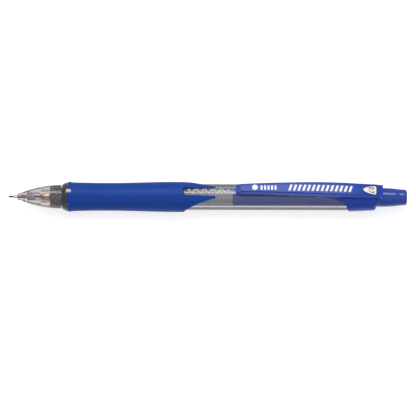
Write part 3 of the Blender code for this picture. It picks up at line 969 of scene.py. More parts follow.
@dataclass
class NoseCone(SubAssembly):
    """The see-through cone that screws onto the barrel."""

    front: float = 3.15
    front_radius: float = 0.85
    front_round: float = 0.4
    shoulder: float = 4.7
    shoulder_radius: float = 1.5
    rear: float = 19.5
    rear_radius: float = 4.37
    pipe_bore: float = 0.57
    pocket_front: float = 6.4
    pocket_radius: float = 1.4
    pocket_slope: float = 0.4
    room_front: float = 12.05
    room_radius: float = 2.2
    socket_front: float = 15.3
    socket_radius: float = 3.42
    thread_pitch: float = 0.8
    thread_depth: float = 0.2

    def outside(self) -> list[Point]:
        """Return the outer profile from the front face to the rear rim."""
        turn = [math.radians(angle) for angle in spread(180, 90, 7)]
        line = [
            (
                self.front + self.front_round * (1 + math.cos(angle)),
                self.front_radius + self.front_round * math.sin(angle),
            )
            for angle in turn
        ]
        line.append((self.shoulder - 0.5, self.shoulder_radius - 0.12))
        for station in spread(self.shoulder, self.rear - 0.15, 60):
            left = (self.rear - station) / (self.rear - self.shoulder)
            drop = (self.rear_radius - self.shoulder_radius) * left**2
            line.append((station, self.rear_radius - drop))
        line.append((self.rear, self.rear_radius - 0.1))
        return line

    def build(self) -> None:
        """Turn the cone, and cut the thread into its socket."""
        socket = [
            (station, self.socket_radius)
            for station in spread(self.rear, self.socket_front + 0.1, 48)
        ]
        inside = [
            (self.socket_front, self.socket_radius - 0.1),
            (self.socket_front, self.room_radius + 0.05),
            (self.socket_front - 0.05, self.room_radius), (self.room_front, self.room_radius),
            (self.room_front, self.pocket_radius + 0.05),
            (self.room_front - 0.05, self.pocket_radius),
            (self.pocket_front + self.pocket_slope, self.pocket_radius),
            (self.pocket_front, self.pipe_bore), (self.front + 0.05, self.pipe_bore),
            (self.front, self.pipe_bore + 0.05),
        ]
        cone = turned("smoked_nose_cone", self.outside() + socket + inside)
        limits = (self.socket_front + 0.3, self.rear - 0.3)
        female = Thread(self.socket_radius, self.thread_pitch, self.thread_depth, limits)
        reshape(cone, female.cut)
        self.dress(cone, SMOKE, MATT_SMOKE)
        for face in cone.data.polygons:
            middle = face.center
            reach = math.hypot(middle.y, middle.z - AXIS_Z) / MM
            on_socket = abs(reach - self.socket_radius - self.thread_depth / 2) < 0.15
            face.material_index = int(on_socket and middle.x > at(self.socket_front).x)
        self.keep(cone, Body.NOSE, "smoky_plastic", "nose_cone")


@dataclass(frozen=True)
class Thread:
    """A helical thread that ripples the surface of one radius.

    Args:
        radius: The radius of the surface that it ripples.
        pitch: Its advance in one turn.
        depth: How far it rises above that radius.
        limits: The stations between which it runs.
    """

    radius: float
    pitch: float
    depth: float
    limits: tuple[float, float]

    def cut(self, x: np.ndarray, y: np.ndarray, h: np.ndarray) -> Places:
        """Raise the thread.

        Args:
            x: Stations.
            y: Sides.
            h: Heights.

        Returns:
            The new stations, sides and heights.
        """
        reach = np.hypot(y, h)
        turn = np.arctan2(y, h) / math.tau
        wave = 0.5 + 0.5 * np.cos(math.tau * (x / self.pitch - turn))
        ends = np.clip((x - self.limits[0]) / 0.4, 0, 1) * np.clip((self.limits[1] - x) / 0.4, 0, 1)
        here = np.abs(reach - self.radius) < 0.02
        grow = np.where(here, 1 + self.depth * wave * ends / np.maximum(reach, 0.1), 1.0)
        return x, y * grow, h * grow


@dataclass
class Clutch(SubAssembly):
    """The brass chuck that grips the lead, its ring, seat, spring and collar."""

    front: float = 12.1
    head_rear: float = 14.9
    rear: float = 36.0
    tip_radius: float = 0.95
    head_radius: float = 1.2
    stem_radius: float = 0.8
    bore: float = 0.39
    slit_width: float = 0.2
    slit_rear: float = 23.0
    saw_reach: float = 2.0
    jaws: int = 3
    ring_front: float = 13.2
    ring_rear: float = 15.35
    ring_outer: float = 1.42
    ring_inner: float = 1.25
    seat_front: float = 15.45
    seat_shoulder: float = 17.0
    seat_rear: float = 22.5
    seat_outer: float = 2.36
    seat_neck: float = 1.05
    seat_pocket: float = 1.9
    coil_front: float = 17.4
    coil_rear: float = 32.75
    coil_radius: float = 1.45
    coil_wire: float = 0.15
    coil_turns: int = 9
    coil_closed: float = 0.31
    coil_stroke: float = 1.9
    collar_front: float = 33.1
    collar_step: float = 37.9
    collar_rear: float = 42.0
    collar_radius: float = 2.46
    collar_spigot: float = 1.86
    collar_bore: float = 0.84
    collar_bore_rear: float = 36.1
    collar_lead_bore: float = 0.5
    collar_funnel: float = 1.5

    def build_chuck(self) -> None:
        """Turn the chuck and saw the slits that part its jaws."""
        chuck = turned(
            "brass_chuck",
            rounded([
                (self.front, self.bore + 0.08, 0.03), (self.front, self.tip_radius, 0.08),
                (self.ring_front, self.head_radius, 0.15), (self.head_rear, self.head_radius, 0.1),
                (self.ring_rear, self.stem_radius, 0.15), (self.rear, self.stem_radius, 0.05),
                (self.rear, self.bore, 0.05), (self.front + 0.3, self.bore, 0.05),
            ]),
            Steps.SMALL,
        )
        for jaw in range(self.jaws):
            half = self.slit_width / 2
            span = (self.front - 1, self.slit_rear)
            saw = block("saw", span, half, (0, half * 0.9), (0.0, self.saw_reach))
            turn_about(saw, math.tau * (jaw + 0.25) / self.jaws)
            combine(chuck, saw)
        settle(chuck)
        self.keep(self.dress(chuck, BRASS), Body.LEAD_UNIT, "brass", "lead_chuck")

    def build_ring(self) -> None:
        """Turn the ring that closes the jaws."""
        ring = turned(
            "brass_clutch_ring",
            rounded([
                (self.ring_front, self.ring_inner, 0.02), (self.ring_front, self.ring_outer, 0.1),
                (self.ring_rear, self.ring_outer, 0.1), (self.ring_rear, self.ring_inner, 0.02),
            ]),
            Steps.SMALL,
        )
        # The ring's paler brass colour is a painted highlight.
        self.keep(self.dress(ring, BRASS_PAINTED_HIGHLIGHT), Body.RING, "ring_brass", "clutch_ring")

    def build_seat(self) -> None:
        """Turn the seat that the spring pushes against."""
        seat = turned(
            "spring_seat",
            rounded([
                (self.seat_front, self.seat_neck, 0.05),
                (self.seat_front, self.seat_outer - 0.25, 0.08),
                (self.seat_front + 0.3, self.seat_outer, 0.08),
                (self.seat_rear, self.seat_outer, 0.1),
                (self.seat_rear, self.seat_pocket + 0.1, 0.04),
                (self.seat_rear - 0.3, self.seat_pocket, 0.04),
                (self.seat_shoulder, self.seat_pocket, 0.1),
                (self.seat_shoulder, self.seat_neck, 0.05),
            ]),
            Steps.SMALL,
        )
        self.keep(self.dress(seat, GREY_ACETAL), Body.HOLDER, "seat_plastic", "chuck_seat")

    def build_spring(self) -> None:
        """Wind the return spring, with a closed turn at each end."""
        last = float(self.coil_turns)
        turns = (0, 1, last - 1, last)
        first, end, closed = self.coil_front, self.coil_rear, self.coil_closed
        line = []
        for turn in spread(0, last, self.coil_turns * 32 + 1):
            station = float(np.interp(turn, turns, (first, first + closed, end - closed, end)))
            angle = math.tau * turn
            side, height = self.coil_radius * math.sin(angle), self.coil_radius * math.cos(angle)
            line.append(at(station, side, height))
        spring = wire("coil_spring", line, self.coil_wire)
        self.keep(self.dress(spring, SPRING_WIRE), Body.HOLDER, "spring_steel", "return_spring")
        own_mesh(spring)

    def build_collar(self) -> None:
        """Turn the collar that joins the chuck to the lead tube."""
        collar = turned(
            "chuck_collar_plug",
            rounded([
                (self.collar_front, self.collar_bore, 0.05),
                (self.collar_front, self.collar_radius, 0.25),
                (self.collar_step, self.collar_radius, 0.12),
                (self.collar_step, self.collar_spigot, 0.05),
                (self.collar_rear, self.collar_spigot, 0.15),
                (self.collar_rear, self.collar_funnel, 0.05),
                (self.collar_rear - 2.0, self.collar_lead_bore, 0.2),
                (self.collar_bore_rear, self.collar_lead_bore, 0.02),
                (self.collar_bore_rear, self.collar_bore, 0.02),
            ]),
            Steps.SMALL,
        )
        self.dress(collar, WHITE_ACETAL)
        self.keep(collar, Body.LEAD_UNIT, "collar_plastic", "chuck_collar")

    def build(self) -> None:
        """Make the chuck, ring, seat, spring and collar."""
        self.build_chuck()
        self.build_ring()
        self.build_seat()
        self.build_spring()
        self.build_collar()


@dataclass
class LeadTube(SubAssembly):
    """The tube that stores the spare leads and carries the push to the chuck."""

    front: float = 37.95
    rear: float = 132.0
    outer: float = 2.5
    inner: float = 1.9

    def build(self) -> None:
        """Turn the tube."""
        tube = turned(
            "lead_storage_tube",
            rounded([
                (self.front, self.inner + 0.02, 0.1), (self.front, self.outer, 0.15),
                (self.rear, self.outer, 0.2), (self.rear, self.inner, 0.15),
            ]),
        )
        self.keep(self.dress(tube, FROSTED), Body.LEAD_UNIT, "tube_plastic", "lead_tube")


@dataclass(frozen=True)
class RearLine:
    """The grip's rear edge: round the window, over the prongs and under the barrel.

    It is worked out unrolled, as millimetres round the pencil against stations.
    """

    window_front: float = 64.4
    window_half_front: float = 1.35
    window_half_rear: float = 1.75
    window_corner: float = 0.6
    prong_rear: float = 76.2
    tip_angle: float = 29.6
    root_angle: float = 105.0
    rear: float = 64.8
    curve: float = 1.9
    unrolled_radius: float = 5.0
    spacing: float = 0.04
    soften: float = 0.7

    def corners(self) -> list[Point]:
        """Return the line for one side, from above the axis to below it."""
        per_degree = math.radians(self.unrolled_radius)
        front, half, corner = self.window_front, self.window_half_front, self.window_corner
        line = [(0.0, front), (half - corner, front)]
        line += [(half - corner * 0.29, front + corner * 0.29), (half, front + corner)]
        line.append((self.window_half_rear, self.prong_rear))
        for share in spread(0, 1, 60):
            angle = self.tip_angle + (self.root_angle - self.tip_angle) * share
            reach = (self.prong_rear - self.rear) * (1 - share) ** self.curve
            line.append((angle * per_degree, self.rear + reach))
        line.append((180 * per_degree, self.rear))
        return line

    def at(self, angle: np.ndarray) -> tuple[np.ndarray, np.ndarray, np.ndarray, np.ndarray]:
        """Share the line out among the grip's columns.

        Args:
            angle: Each column's angle from the top, 0 to 180.

        Returns:
            The line's angle and station there, and its outward direction as degrees and
            millimetres for each millimetre.
        """
        points = np.array(self.corners())
        runs = np.concatenate(([0], np.cumsum(np.hypot(*np.diff(points, axis=0).T))))
        even = np.arange(0, runs[-1], self.spacing)
        around, along = (np.interp(even, runs, points[:, k]) for k in (0, 1))
        wide = int(self.soften / self.spacing)
        window = np.hanning(2 * wide + 1)
        window /= window.sum()
        last = around[-1]
        mirrored = 2 * last - around[-2 : -wide - 2 : -1]
        around = np.concatenate((-around[wide:0:-1], around, mirrored))
        along = np.concatenate((along[wide:0:-1], along, along[-2 : -wide - 2 : -1]))
        around, along = (np.convolve(line, window, "valid") for line in (around, along))
        slopes = np.gradient(around), np.gradient(along)
        length = np.hypot(*slopes)
        place = angle / 180 * even[-1]
        degrees = 1 / math.radians(self.unrolled_radius)
        return (
            np.interp(place, even, around) * degrees,
            np.interp(place, even, along),
            np.interp(place, even, -slopes[1] / length) * degrees,
            np.interp(place, even, slopes[0] / length),
        )


@dataclass
class Grip(SubAssembly):
    """The rubber grip: a lip, a waist, a bulge, and two prongs beside a window."""

    front: float = 21.65
    lip_radius: float = 5.5
    lip_round: float = 0.45
    lip_rear: float = 23.4
    lip_fall: tuple[Point, ...] = ((22.9, 5.5), (23.05, 5.44), (23.4, 5.36))
    front_radius: float = 5.34
    waist: float = 36.3
    waist_radius: float = 5.11
    bulge: float = 62.0
    bulge_radius: float = 5.567
    fall_front: float = 63.3
    fall_rear: float = 74.3
    tip_radius: float = 4.85
    bore: float = 4.24
    fan_front: float = 32.0
    edge: float = 76.2
    edge_round: float = 0.28
    flag: float = 6.5
    line: RearLine = field(default_factory=RearLine)
    key_half: float = 0.76
    key_corner: float = 0.35
    key_rear: float = 23.04

    def radius_at(self, x: np.ndarray) -> np.ndarray:
        """Return the grip's outer radius at each station."""
        left = np.clip((self.waist - x) / (self.waist - self.lip_rear), 0, None)
        front = self.waist_radius + (self.front_radius - self.waist_radius) * left**2
        climb = np.clip((x - self.waist) / (self.bulge - self.waist), 0, 1)
        rise = 0.5 - 0.5 * np.cos(np.pi * climb)
        middle = self.waist_radius + (self.bulge_radius - self.waist_radius) * rise
        fall = np.clip((x - self.fall_front) / (self.fall_rear - self.fall_front), 0, 1)
        high = self.bulge_radius - self.tip_radius
        rear = self.tip_radius + high * (0.5 + 0.5 * np.cos(np.pi * fall))
        return np.where(x < self.waist, front, np.where(x < self.fall_front, middle, rear))

    def follow_line(self, x: np.ndarray, y: np.ndarray, h: np.ndarray) -> Places:
        """Fan the columns out to the rear line and give the outside its true radius.

        The turned blank's outside stands at the flag radius, less the drop of its rear rounding.

        Args:
            x: Stations.
            y: Sides.
            h: Heights.

        Returns:
            The new stations, sides and heights.
        """
        reach = np.hypot(y, h)
        angle = np.degrees(np.arctan2(y, h))
        line_angle, line_x, out_angle, out_x = self.line.at(np.abs(angle))
        inner_x = line_x - out_x * self.edge_round
        inner_angle = line_angle - out_angle * self.edge_round
        start = self.edge - self.edge_round
        share = np.clip((x - self.fan_front) / (start - self.fan_front), 0, 1)
        beyond = np.clip(x - start, 0, None)
        new_x = self.fan_front + (inner_x - self.fan_front) * share + out_x * beyond
        new_angle = np.abs(angle) + (inner_angle - np.abs(angle)) * share + out_angle * beyond
        fanned = x > self.fan_front
        new_x = np.where(fanned, new_x, x)
        new_angle = np.where(fanned, new_angle, np.abs(angle)) * np.sign(angle)
        outside = reach > self.flag - 1
        new_reach = np.where(outside, self.radius_at(new_x) - (self.flag - reach), reach)
        turn = np.radians(new_angle)
        return new_x, new_reach * np.sin(turn), new_reach * np.cos(turn)

    def build(self) -> None:
        """Turn a blank, draw its rear end out to the prongs and notch it for the key."""
        corner = self.lip_round
        front = []
        for angle in spread(180, 90, 8):
            turn = math.radians(angle)
            station = self.front + corner * (1 + math.cos(turn))
            reach = self.lip_radius - corner * (1 - math.sin(turn))
            front.append((station, reach))
        front += self.lip_fall
        blank = [(x, self.flag + r - float(self.radius_at(np.array(x)))) for x, r in front]
        start = self.edge - self.edge_round
        blank += [(x, self.flag) for x in spread(24.0, self.fan_front, 10)]
        blank += [(x, self.flag) for x in spread(self.fan_front + 0.6, start, 76)]
        for angle in spread(80, 0, 6):
            turn = math.radians(angle)
            drop = self.edge_round * (1 - math.sin(turn))
            blank.append((start + self.edge_round * math.cos(turn), self.flag - drop))
        blank += [(x, self.bore) for x in spread(self.edge, self.fan_front, 40)]
        blank += [(x, self.bore) for x in spread(self.fan_front - 3, self.front, 4)]
        grip = turned("rubber_grip", blank, Steps.BROAD)
        reshape(grip, self.follow_line)
        span = (self.front - 1, self.key_rear)
        notch = block("notch", span, self.key_half, (0, self.key_corner), (3.0, 7.0))
        combine(grip, notch)
        settle(grip, 40)
        self.keep(self.dress(grip, RUBBER), Body.HOLDER, "grip_rubber", "grip")


@dataclass
class Barrel(SubAssembly):
    """The clear barrel: threaded spigot, flange with a key, neck and long body."""

    front: float = 15.4
    thread_root: float = 3.14
    thread_depth: float = 0.22
    thread_pitch: float = 0.8
    flange_front: float = 19.55
    flange_front_radius: float = 4.33
    flange_full: float = 21.1
    flange_radius: float = 5.27
    flange_rear: float = 21.6
    neck_radius: float = 4.2
    step: float = 64.5
    radius: float = 4.79
    rear: float = 125.9
    bore: float = 3.31
    spigot_bore: float = 2.4
    spigot_bore_rear: float = 24.0
    key_front: float = 21.0
    key_rear: float = 23.0
    key_half: float = 0.72
    key_root: float = 3.9
    key_top: float = 5.45
    key_round: float = 0.22
    marks: int = 10
    marks_front: float = 66.8
    mark_pitch: float = 1.55
    mark_half: float = 0.95
    mark_lean: float = 0.45
    mark_width: float = 0.5
    mark_corner: float = 0.12
    mark_root: float = 4.4
    mark_top: float = 5.03

    def tube(self) -> bpy.types.Object:
        """Turn the barrel and raise the thread on its spigot."""
        profile = [(self.front, self.spigot_bore + 0.08), (self.front, self.thread_root - 0.1)]
        profile += [(x, self.thread_root) for x in spread(self.front + 0.1, self.flange_front, 48)]
        profile += rounded(
            [
                (self.flange_front, self.flange_front_radius, 0.1),
                (self.flange_full, self.flange_radius, 0.25),
                (self.flange_rear, self.flange_radius, 0.12),
                (self.flange_rear, self.neck_radius, 0.0),
            ],
        )[:-1]
        profile += [(x, self.neck_radius) for x in spread(self.flange_rear, self.step, 20)]
        profile += [(x, self.radius) for x in spread(self.step + 0.06, self.rear - 0.15, 40)]
        profile += [(self.rear, self.radius - 0.12), (self.rear, self.bore + 0.1)]
        profile += [(x, self.bore) for x in spread(self.rear - 0.1, self.spigot_bore_rear, 30)]
        profile += [
            (self.spigot_bore_rear - 0.8, self.spigot_bore), (self.front + 0.08, self.spigot_bore),
        ]
        barrel = turned("clear_barrel", profile)
        limits = (self.front + 0.15, self.flange_front - 0.1)
        male = Thread(self.thread_root, self.thread_pitch, self.thread_depth, limits)
        return reshape(barrel, male.cut)

    def mould_marks(self, barrel: bpy.types.Object) -> None:
        """Raise a row of leaning ribs in the grip's window, a plain zigzag."""
        for index in range(self.marks):
            middle = self.marks_front + self.mark_pitch * index
            lean = self.mark_lean * (1 if index % 2 else -1)
            front = middle - lean - self.mark_width / 2
            sides = (-self.mark_half, self.mark_half)
            outline = leaning(front, self.mark_width, sides, 2 * lean, self.mark_corner, 3)
            mark = slab("mark", outline, self.mark_root, self.mark_top)
            combine(barrel, mark, Combine.JOIN)

    def part_finishes(self, barrel: bpy.types.Object) -> None:
        """Give the thread and the key their matt finish, and the flange its painted shade."""
        for face in barrel.data.polygons:
            middle = face.center
            x, height = (middle.x - TIP_X) / MM, (middle.z - AXIS_Z) / MM
            reach = math.hypot(middle.y / MM, height)
            on_key = x > self.key_front and height > self.neck_radius + 0.1
            on_key = on_key and abs(middle.y) < (self.key_half + 0.02) * MM
            if x < self.flange_front and reach > self.spigot_bore + 0.1:
                face.material_index = 1
            elif x < self.key_rear + 0.1 and on_key and reach > self.flange_radius - 0.1:
                face.material_index = 1
            elif x > self.flange_rear and x < self.key_rear + 0.1 and on_key:
                face.material_index = 1
            # The flange takes the dark grey painted shade.
            elif x <= self.flange_rear + 0.01 and reach > self.thread_root:
                face.material_index = 2
            elif x > self.step + 0.5 and reach > self.radius + 0.03:
                face.material_index = 1

    def build(self) -> None:
        """Make the barrel with its key and marks."""
        barrel = self.tube()
        span, heights = (self.key_front, self.key_rear), (self.key_root, self.key_top)
        key = block("key", span, self.key_half, (0.1, 0.3), heights)
        with editing(key, "EDGE"):
            top = at(0, 0, self.key_top).z - 0.01 * MM
            choose(key, "edges", lambda edge: all(point.co.z > top for point in edge.verts))
            bpy.ops.mesh.bevel(offset=self.key_round * MM, segments=4, affect="EDGES")
        combine(barrel, key, Combine.JOIN)
        self.mould_marks(barrel)
        settle(barrel)
        self.dress(barrel, CLEAR, MATT_CLEAR, PAINTED_SHADE_STYRENE)
        self.part_finishes(barrel)
        self.keep(barrel, Body.HOLDER, "clear_plastic", "barrel")


@dataclass
class InnerSleeve(SubAssembly):
    """The blue sleeve inside the barrel's rear end, with a slot in each side."""

    front: float = 82.7
    rear: float = 125.8
    outer: float = 3.27
    inner: float = 2.58
    step: float = 103.9
    rear_inner: float = 2.8
    slot_front: float = 109.4
    slot_rear: float = 121.6
    slot_half: float = 0.4
    slot_angle: float = 95.0

    def build(self) -> None:
        """Turn the sleeve and mill its slots."""
        sleeve = turned(
            "blue_inner_sleeve",
            rounded([
                (self.front, self.inner, 0.05), (self.front, self.outer, 0.1),
                (self.rear, self.outer, 0.1), (self.rear, self.rear_inner, 0.05),
                (self.step, self.rear_inner, 0.0), (self.step, self.inner, 0.0),
            ]),
        )
        for angle in (self.slot_angle, -self.slot_angle):
            span, corner = (self.slot_front, self.slot_rear), self.slot_half * 0.95
            mill = block("mill", span, self.slot_half, (corner, corner), (2.0, 4.0))
            turn_about(mill, math.radians(angle))
            combine(sleeve, mill)
        settle(sleeve)
        self.keep(self.dress(sleeve, BLUE_SLEEVE), Body.HOLDER, "sleeve_plastic", "inner_sleeve")


@dataclass
class CapAndClip(SubAssembly):
    """The cap, its clip and the size badge, moulded in one piece and parted where it flexes."""

    clip_front: float = 83.8
    nose_stations: tuple[float, ...] = (
        83.8, 84.1, 84.6, 85.3, 86.2, 87.3, 88.5, 88.6, 88.9, 89.5, 90.4, 91.5,
    )
    hinge: float = 112.9
    rear: float = 138.0
    front_half: float = 1.55
    full_half: float = 2.52
    full_at: float = 122.0
    top: float = 8.6
    top_at: float = 100.0
    nose_drop: float = 0.45
    tail_drop: float = 3.4
    tail_curve: float = 2.6
    underside: float = 5.75
    foot_rear: float = 88.5
    foot_ramp: float = 3.0
    foot_bottom: float = 4.3
    root_slope_rear: float = 121.5
    root_underside: float = 3.9
    edge: float = 0.4
    wall: float = 0.75
    roof: float = 1.0
    channel: tuple[float, float] = (90.0, 111.9)
    plate_front: float = 85.5
    plate_corner: float = 0.6
    plate_step: float = 0.35
    plate_slope: float = 0.28
    edge_top: float = 117.9
    edge_bottom: float = 125.4
    edge_sweep: float = 1.3
    sweep_rear: float = 134.0
    edge_start: float = 27.0
    edge_end: float = 115.0
    radius: float = 5.23
    taper_front: float = 125.0
    rear_radius: float = 4.76
    shell_rear: float = 137.93
    rear_bottom: float = 135.5
    slant_front: float = 131.0
    slant_low: float = 1.37
    slant_high: float = 3.7
    socket: float = 4.84
    socket_rear: float = 126.1
    bore: float = 3.56
    badge_front: float = 130.3
    badge_rear: float = 135.7
    badge_half: float = 1.95
    badge_thickness: float = 0.3
    badge_inset: float = 0.12
    badge_rim: float = 0.2
    badge_rise: float = 0.05
    badge_taper: float = 0.985
    badge_centre: float = 133.2
    digits_at: float = 132.8
    digits_size: float = 2.9
    digits_width: float = 0.72
    digits_depth: float = 0.03
    stripe_front: float = 103.1
    stripe_pitch: float = 1.705
    stripes: int = 14
    stripe_width: float = 0.84
    stripe_sides: Point = (-1.3, 1.1)
    stripe_lean: float = 0.75
    dot_at: float = 90.8
    dot_radius: float = 1.05
    bars: int = 5
    bars_front: float = 92.9
    bar_pitch: float = 1.28
    bar_width: float = 0.7
    bar_sides: Point = (-1.0, 0.7)

    def half_at(self, x: float) -> float:
        """Return half the bar's width at a station."""
        left = max(0.0, (self.full_at - x) / (self.full_at - self.clip_front))
        return self.full_half - (self.full_half - self.front_half) * left**1.5

    def top_at_station(self, x: np.ndarray | float) -> np.ndarray:
        """Return the height of the bar's face at each station."""
        left = np.clip((self.top_at - x) / (self.top_at - self.clip_front), 0, None)
        along = np.clip((x - self.top_at) / (self.rear - self.top_at), 0, None)
        return self.top - self.nose_drop * left**4 - self.tail_drop * along**self.tail_curve

    def bottom_at(self, x: float) -> float:
        """Return the height of the bar's underside at a station."""
        if x <= self.hinge:
            ramp = min(1.0, max(0.0, (x - self.foot_rear) / self.foot_ramp))
            return self.foot_bottom + (self.underside - self.foot_bottom) * math.sqrt(ramp)
        along = min(1.0, (x - self.hinge) / (self.root_slope_rear - self.hinge))
        return self.underside - (self.underside - self.root_underside) * along

    def bar(self) -> bpy.types.Object:
        """Loft the long bar that is the clip and its root, and hollow the clip's underside."""
        stations = [*self.nose_stations, *spread(93, self.hinge, 15)]
        stations += spread(114, self.rear, 20)
        sections = []
        for x in stations:
            near = max(0.0, self.clip_front + 0.8 - x) ** 2
            high = float(self.top_at_station(x)) - 0.5 * near
            sections.append(Section(x, self.half_at(x) - 0.5 * near, self.bottom_at(x), high))
        bar = lofted("bar", sections)
        round_long_edges(bar, self.edge, 6.0)
        hollow = [
            Section(x, self.half_at(x) - self.wall, 4.0, float(self.top_at_station(x)) - self.roof)
            for x in spread(*self.channel, 16)
        ]
        channel = lofted("channel", hollow)
        round_long_edges(channel, 0.3, 6.0)
        combine(bar, channel)
        combine(bar, self.front_step())
        return bar

    def front_step(self) -> bpy.types.Object:
        """Return the solid that lowers the clip's front end and leaves the face a rounded plate."""
        front, corner = self.plate_front, self.plate_corner
        half = self.half_at(front)
        outline = rounded(
            [
                (front - 4, -4.0, 0), (front + corner, -4.0, 0), (front + corner, -half, 0),
                (front, -half, corner), (front, half, corner), (front + corner, half, 0),
                (front + corner, 4.0, 0), (front - 4, 4.0, 0),
            ],
            6,
        )
        step = slab("step", outline, float(self.top_at_station(front)) - self.plate_step, 12.0)
        return reshape(step, lambda x, y, h: (x, y, h - self.plate_slope * (front - x)))

    def slant_edges(self, x: np.ndarray, y: np.ndarray, h: np.ndarray) -> Places:
        """Sweep the shell's front edge forward over its top, and cut its rear end aslant.

        Args:
            x: Stations.
            y: Sides.
            h: Heights.

        Returns:
            The new stations, sides and heights.
        """
        away = np.abs(np.degrees(np.arctan2(y, h)))
        left = 1 - np.clip((away - self.edge_start) / (self.edge_end - self.edge_start), 0, 1)
        reach = self.edge_bottom - self.edge_top - self.edge_sweep
        shift = -self.edge_sweep * left - reach * left**6
        front_share = np.clip((self.sweep_rear - x) / (self.sweep_rear - self.edge_bottom), 0, 1)
        rise = np.clip((h - self.slant_low) / (self.slant_high - self.slant_low), 0, 1)
        back = (self.rear_bottom - self.rear) * (1 - rise)
        rear_share = np.clip((x - self.slant_front) / (self.shell_rear - self.slant_front), 0, 1)
        return x + shift * front_share + back * rear_share, y, h

    def shell(self) -> bpy.types.Object:
        """Turn the cap's shell, thick enough inside for the bores to be cut afterwards."""
        inner = self.socket - 0.25
        corners = [
            (self.edge_bottom, inner, 0.0), (self.edge_bottom, self.radius, 0.14),
            (self.taper_front + 1.0, self.radius, 0.0),
        ]
        corners += [(x, self.radius - 0.47 * (x - 126) / 12, 0.0) for x in spread(128, 136, 5)]
        corners += [
            (self.shell_rear - 1.1, self.rear_radius + 0.03, 0.8),
            (self.shell_rear, self.rear_radius - 0.55, 0.6),
            (self.shell_rear, self.bore - 0.25, 0.0),
            (self.socket_rear + 0.4, self.bore - 0.25, 0.0), (self.socket_rear + 0.4, inner, 0.0),
        ]
        profile = rounded(corners, 5)
        dense: list[Point] = []
        for before, after in zip(profile, profile[1:] + profile[:1]):
            count = max(2, int(math.dist(before, after) / 0.6) + 1)
            run = zip(*(spread(before[k], after[k], count) for k in (0, 1)))
            dense += list(run)[:-1]
        return reshape(turned("cap_shell", dense, Steps.BROAD), self.slant_edges)

    def bores(self) -> bpy.types.Object:
        """Return the solid of the barrel's socket and the button's bore."""
        profile = [
            (80.0, 0.0), (80.0, self.socket), (self.socket_rear, self.socket),
            (self.socket_rear, self.bore), (self.rear + 3, self.bore), (self.rear + 3, 0.0),
        ]
        return turned("bores", profile, Steps.BROAD, closed=False)

    def badge_outline(self, grow: float) -> list[Point]:
        """Return the badge's outline: a shield with its point forward, grown all round."""
        half = self.badge_half + grow
        front, rear = self.badge_front - grow, self.badge_rear + grow
        side = [
            (front + 0.85, half * 0.5, 1.0), (front + 3.1, half * 0.86, 3.0),
            (rear - 0.35, half, 0.5), (rear + 0.1, half * 0.6, 0.9),
        ]
        other = [(x, -y, corner) for x, y, corner in reversed(side)]
        return rounded([(front, 0.0, 0.45), *side, *other], 6)

    def lay_on_slope(self, x: np.ndarray, y: np.ndarray, h: np.ndarray) -> Places:
        """Lay a flat piece on the line of the badge's seat."""
        low, high = self.top_at_station(self.badge_front), self.top_at_station(self.badge_rear)
        along = (x - self.badge_front) / (self.badge_rear - self.badge_front)
        return x, y, h + low + (high - low) * along

    def lay_on_face(self, x: np.ndarray, y: np.ndarray, h: np.ndarray) -> Places:
        """Lay a flat print on the bar's curved face."""
        return x, y, h + self.top_at_station(x)

    def print_mark(self, outline: Sequence[Point]) -> bpy.types.Object:
        """Print one white mark on the bar's face."""
        mark = reshape(slab("mark", outline, -0.03, 0.03), self.lay_on_face)
        self.dress(mark, WHITE_INK)
        return mark

    def prints(self) -> tuple[list[bpy.types.Object], list[bpy.types.Object]]:
        """Print plain leaning stripes, a dot and short bars.

        Returns:
            The marks on the clip, and those on the cap.
        """
        on_clip, on_cap = [], []
        for index in range(self.stripes):
            x = self.stripe_front + self.stripe_pitch * index
            outline = leaning(x, self.stripe_width, self.stripe_sides, self.stripe_lean, 0.1)
            group = on_clip if x + self.stripe_width + self.stripe_lean < self.hinge else on_cap
            group.append(self.print_mark(outline))
        turns = [math.tau * k / 24 for k in range(24)]
        reach = self.dot_radius
        dot = [(self.dot_at + reach * math.cos(turn), reach * math.sin(turn)) for turn in turns]
        on_clip.append(self.print_mark(dot))
        for index in range(self.bars):
            x = self.bars_front + self.bar_pitch * index
            on_clip.append(self.print_mark(leaning(x, self.bar_width, self.bar_sides, 0, 0.1)))
        return on_clip, on_cap

    def build_moulding(self) -> None:
        """Mould the cap with its clip, part them at the hinge and print them."""
        moulding = combine(self.shell(), self.bar(), Combine.JOIN)
        combine(moulding, self.bores())
        pocket = slab("pocket", self.badge_outline(0.04), -self.badge_inset - 0.04, 3.0)
        combine(moulding, reshape(pocket, self.lay_on_slope))
        on_clip, on_cap = self.prints()
        halves = {}
        for name, clear_inner in (("blue_clip", False), ("blue_cap", True)):
            half = copy_of(moulding, name)
            with editing(half):
                bpy.ops.mesh.bisect(
                    plane_co=at(self.hinge),
                    plane_no=(1, 0, 0),
                    use_fill=True,
                    clear_inner=clear_inner,
                    clear_outer=not clear_inner,
                )
                bpy.ops.mesh.select_all(action="SELECT")
                bpy.ops.mesh.remove_doubles(threshold=SAME_PLACE)
            self.dress(half, BLUE_CAP)
            halves[name] = settle(half, 30)
        bpy.data.objects.remove(moulding)
        clip = gather(halves["blue_clip"], on_clip)
        cap = gather(halves["blue_cap"], on_cap)
        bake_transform(clip)
        self.keep(clip, (Body.HOLDER, Body.CLIP), "clip_plastic", "clip")
        self.keep(cap, Body.HOLDER, "cap_plastic", "cap")

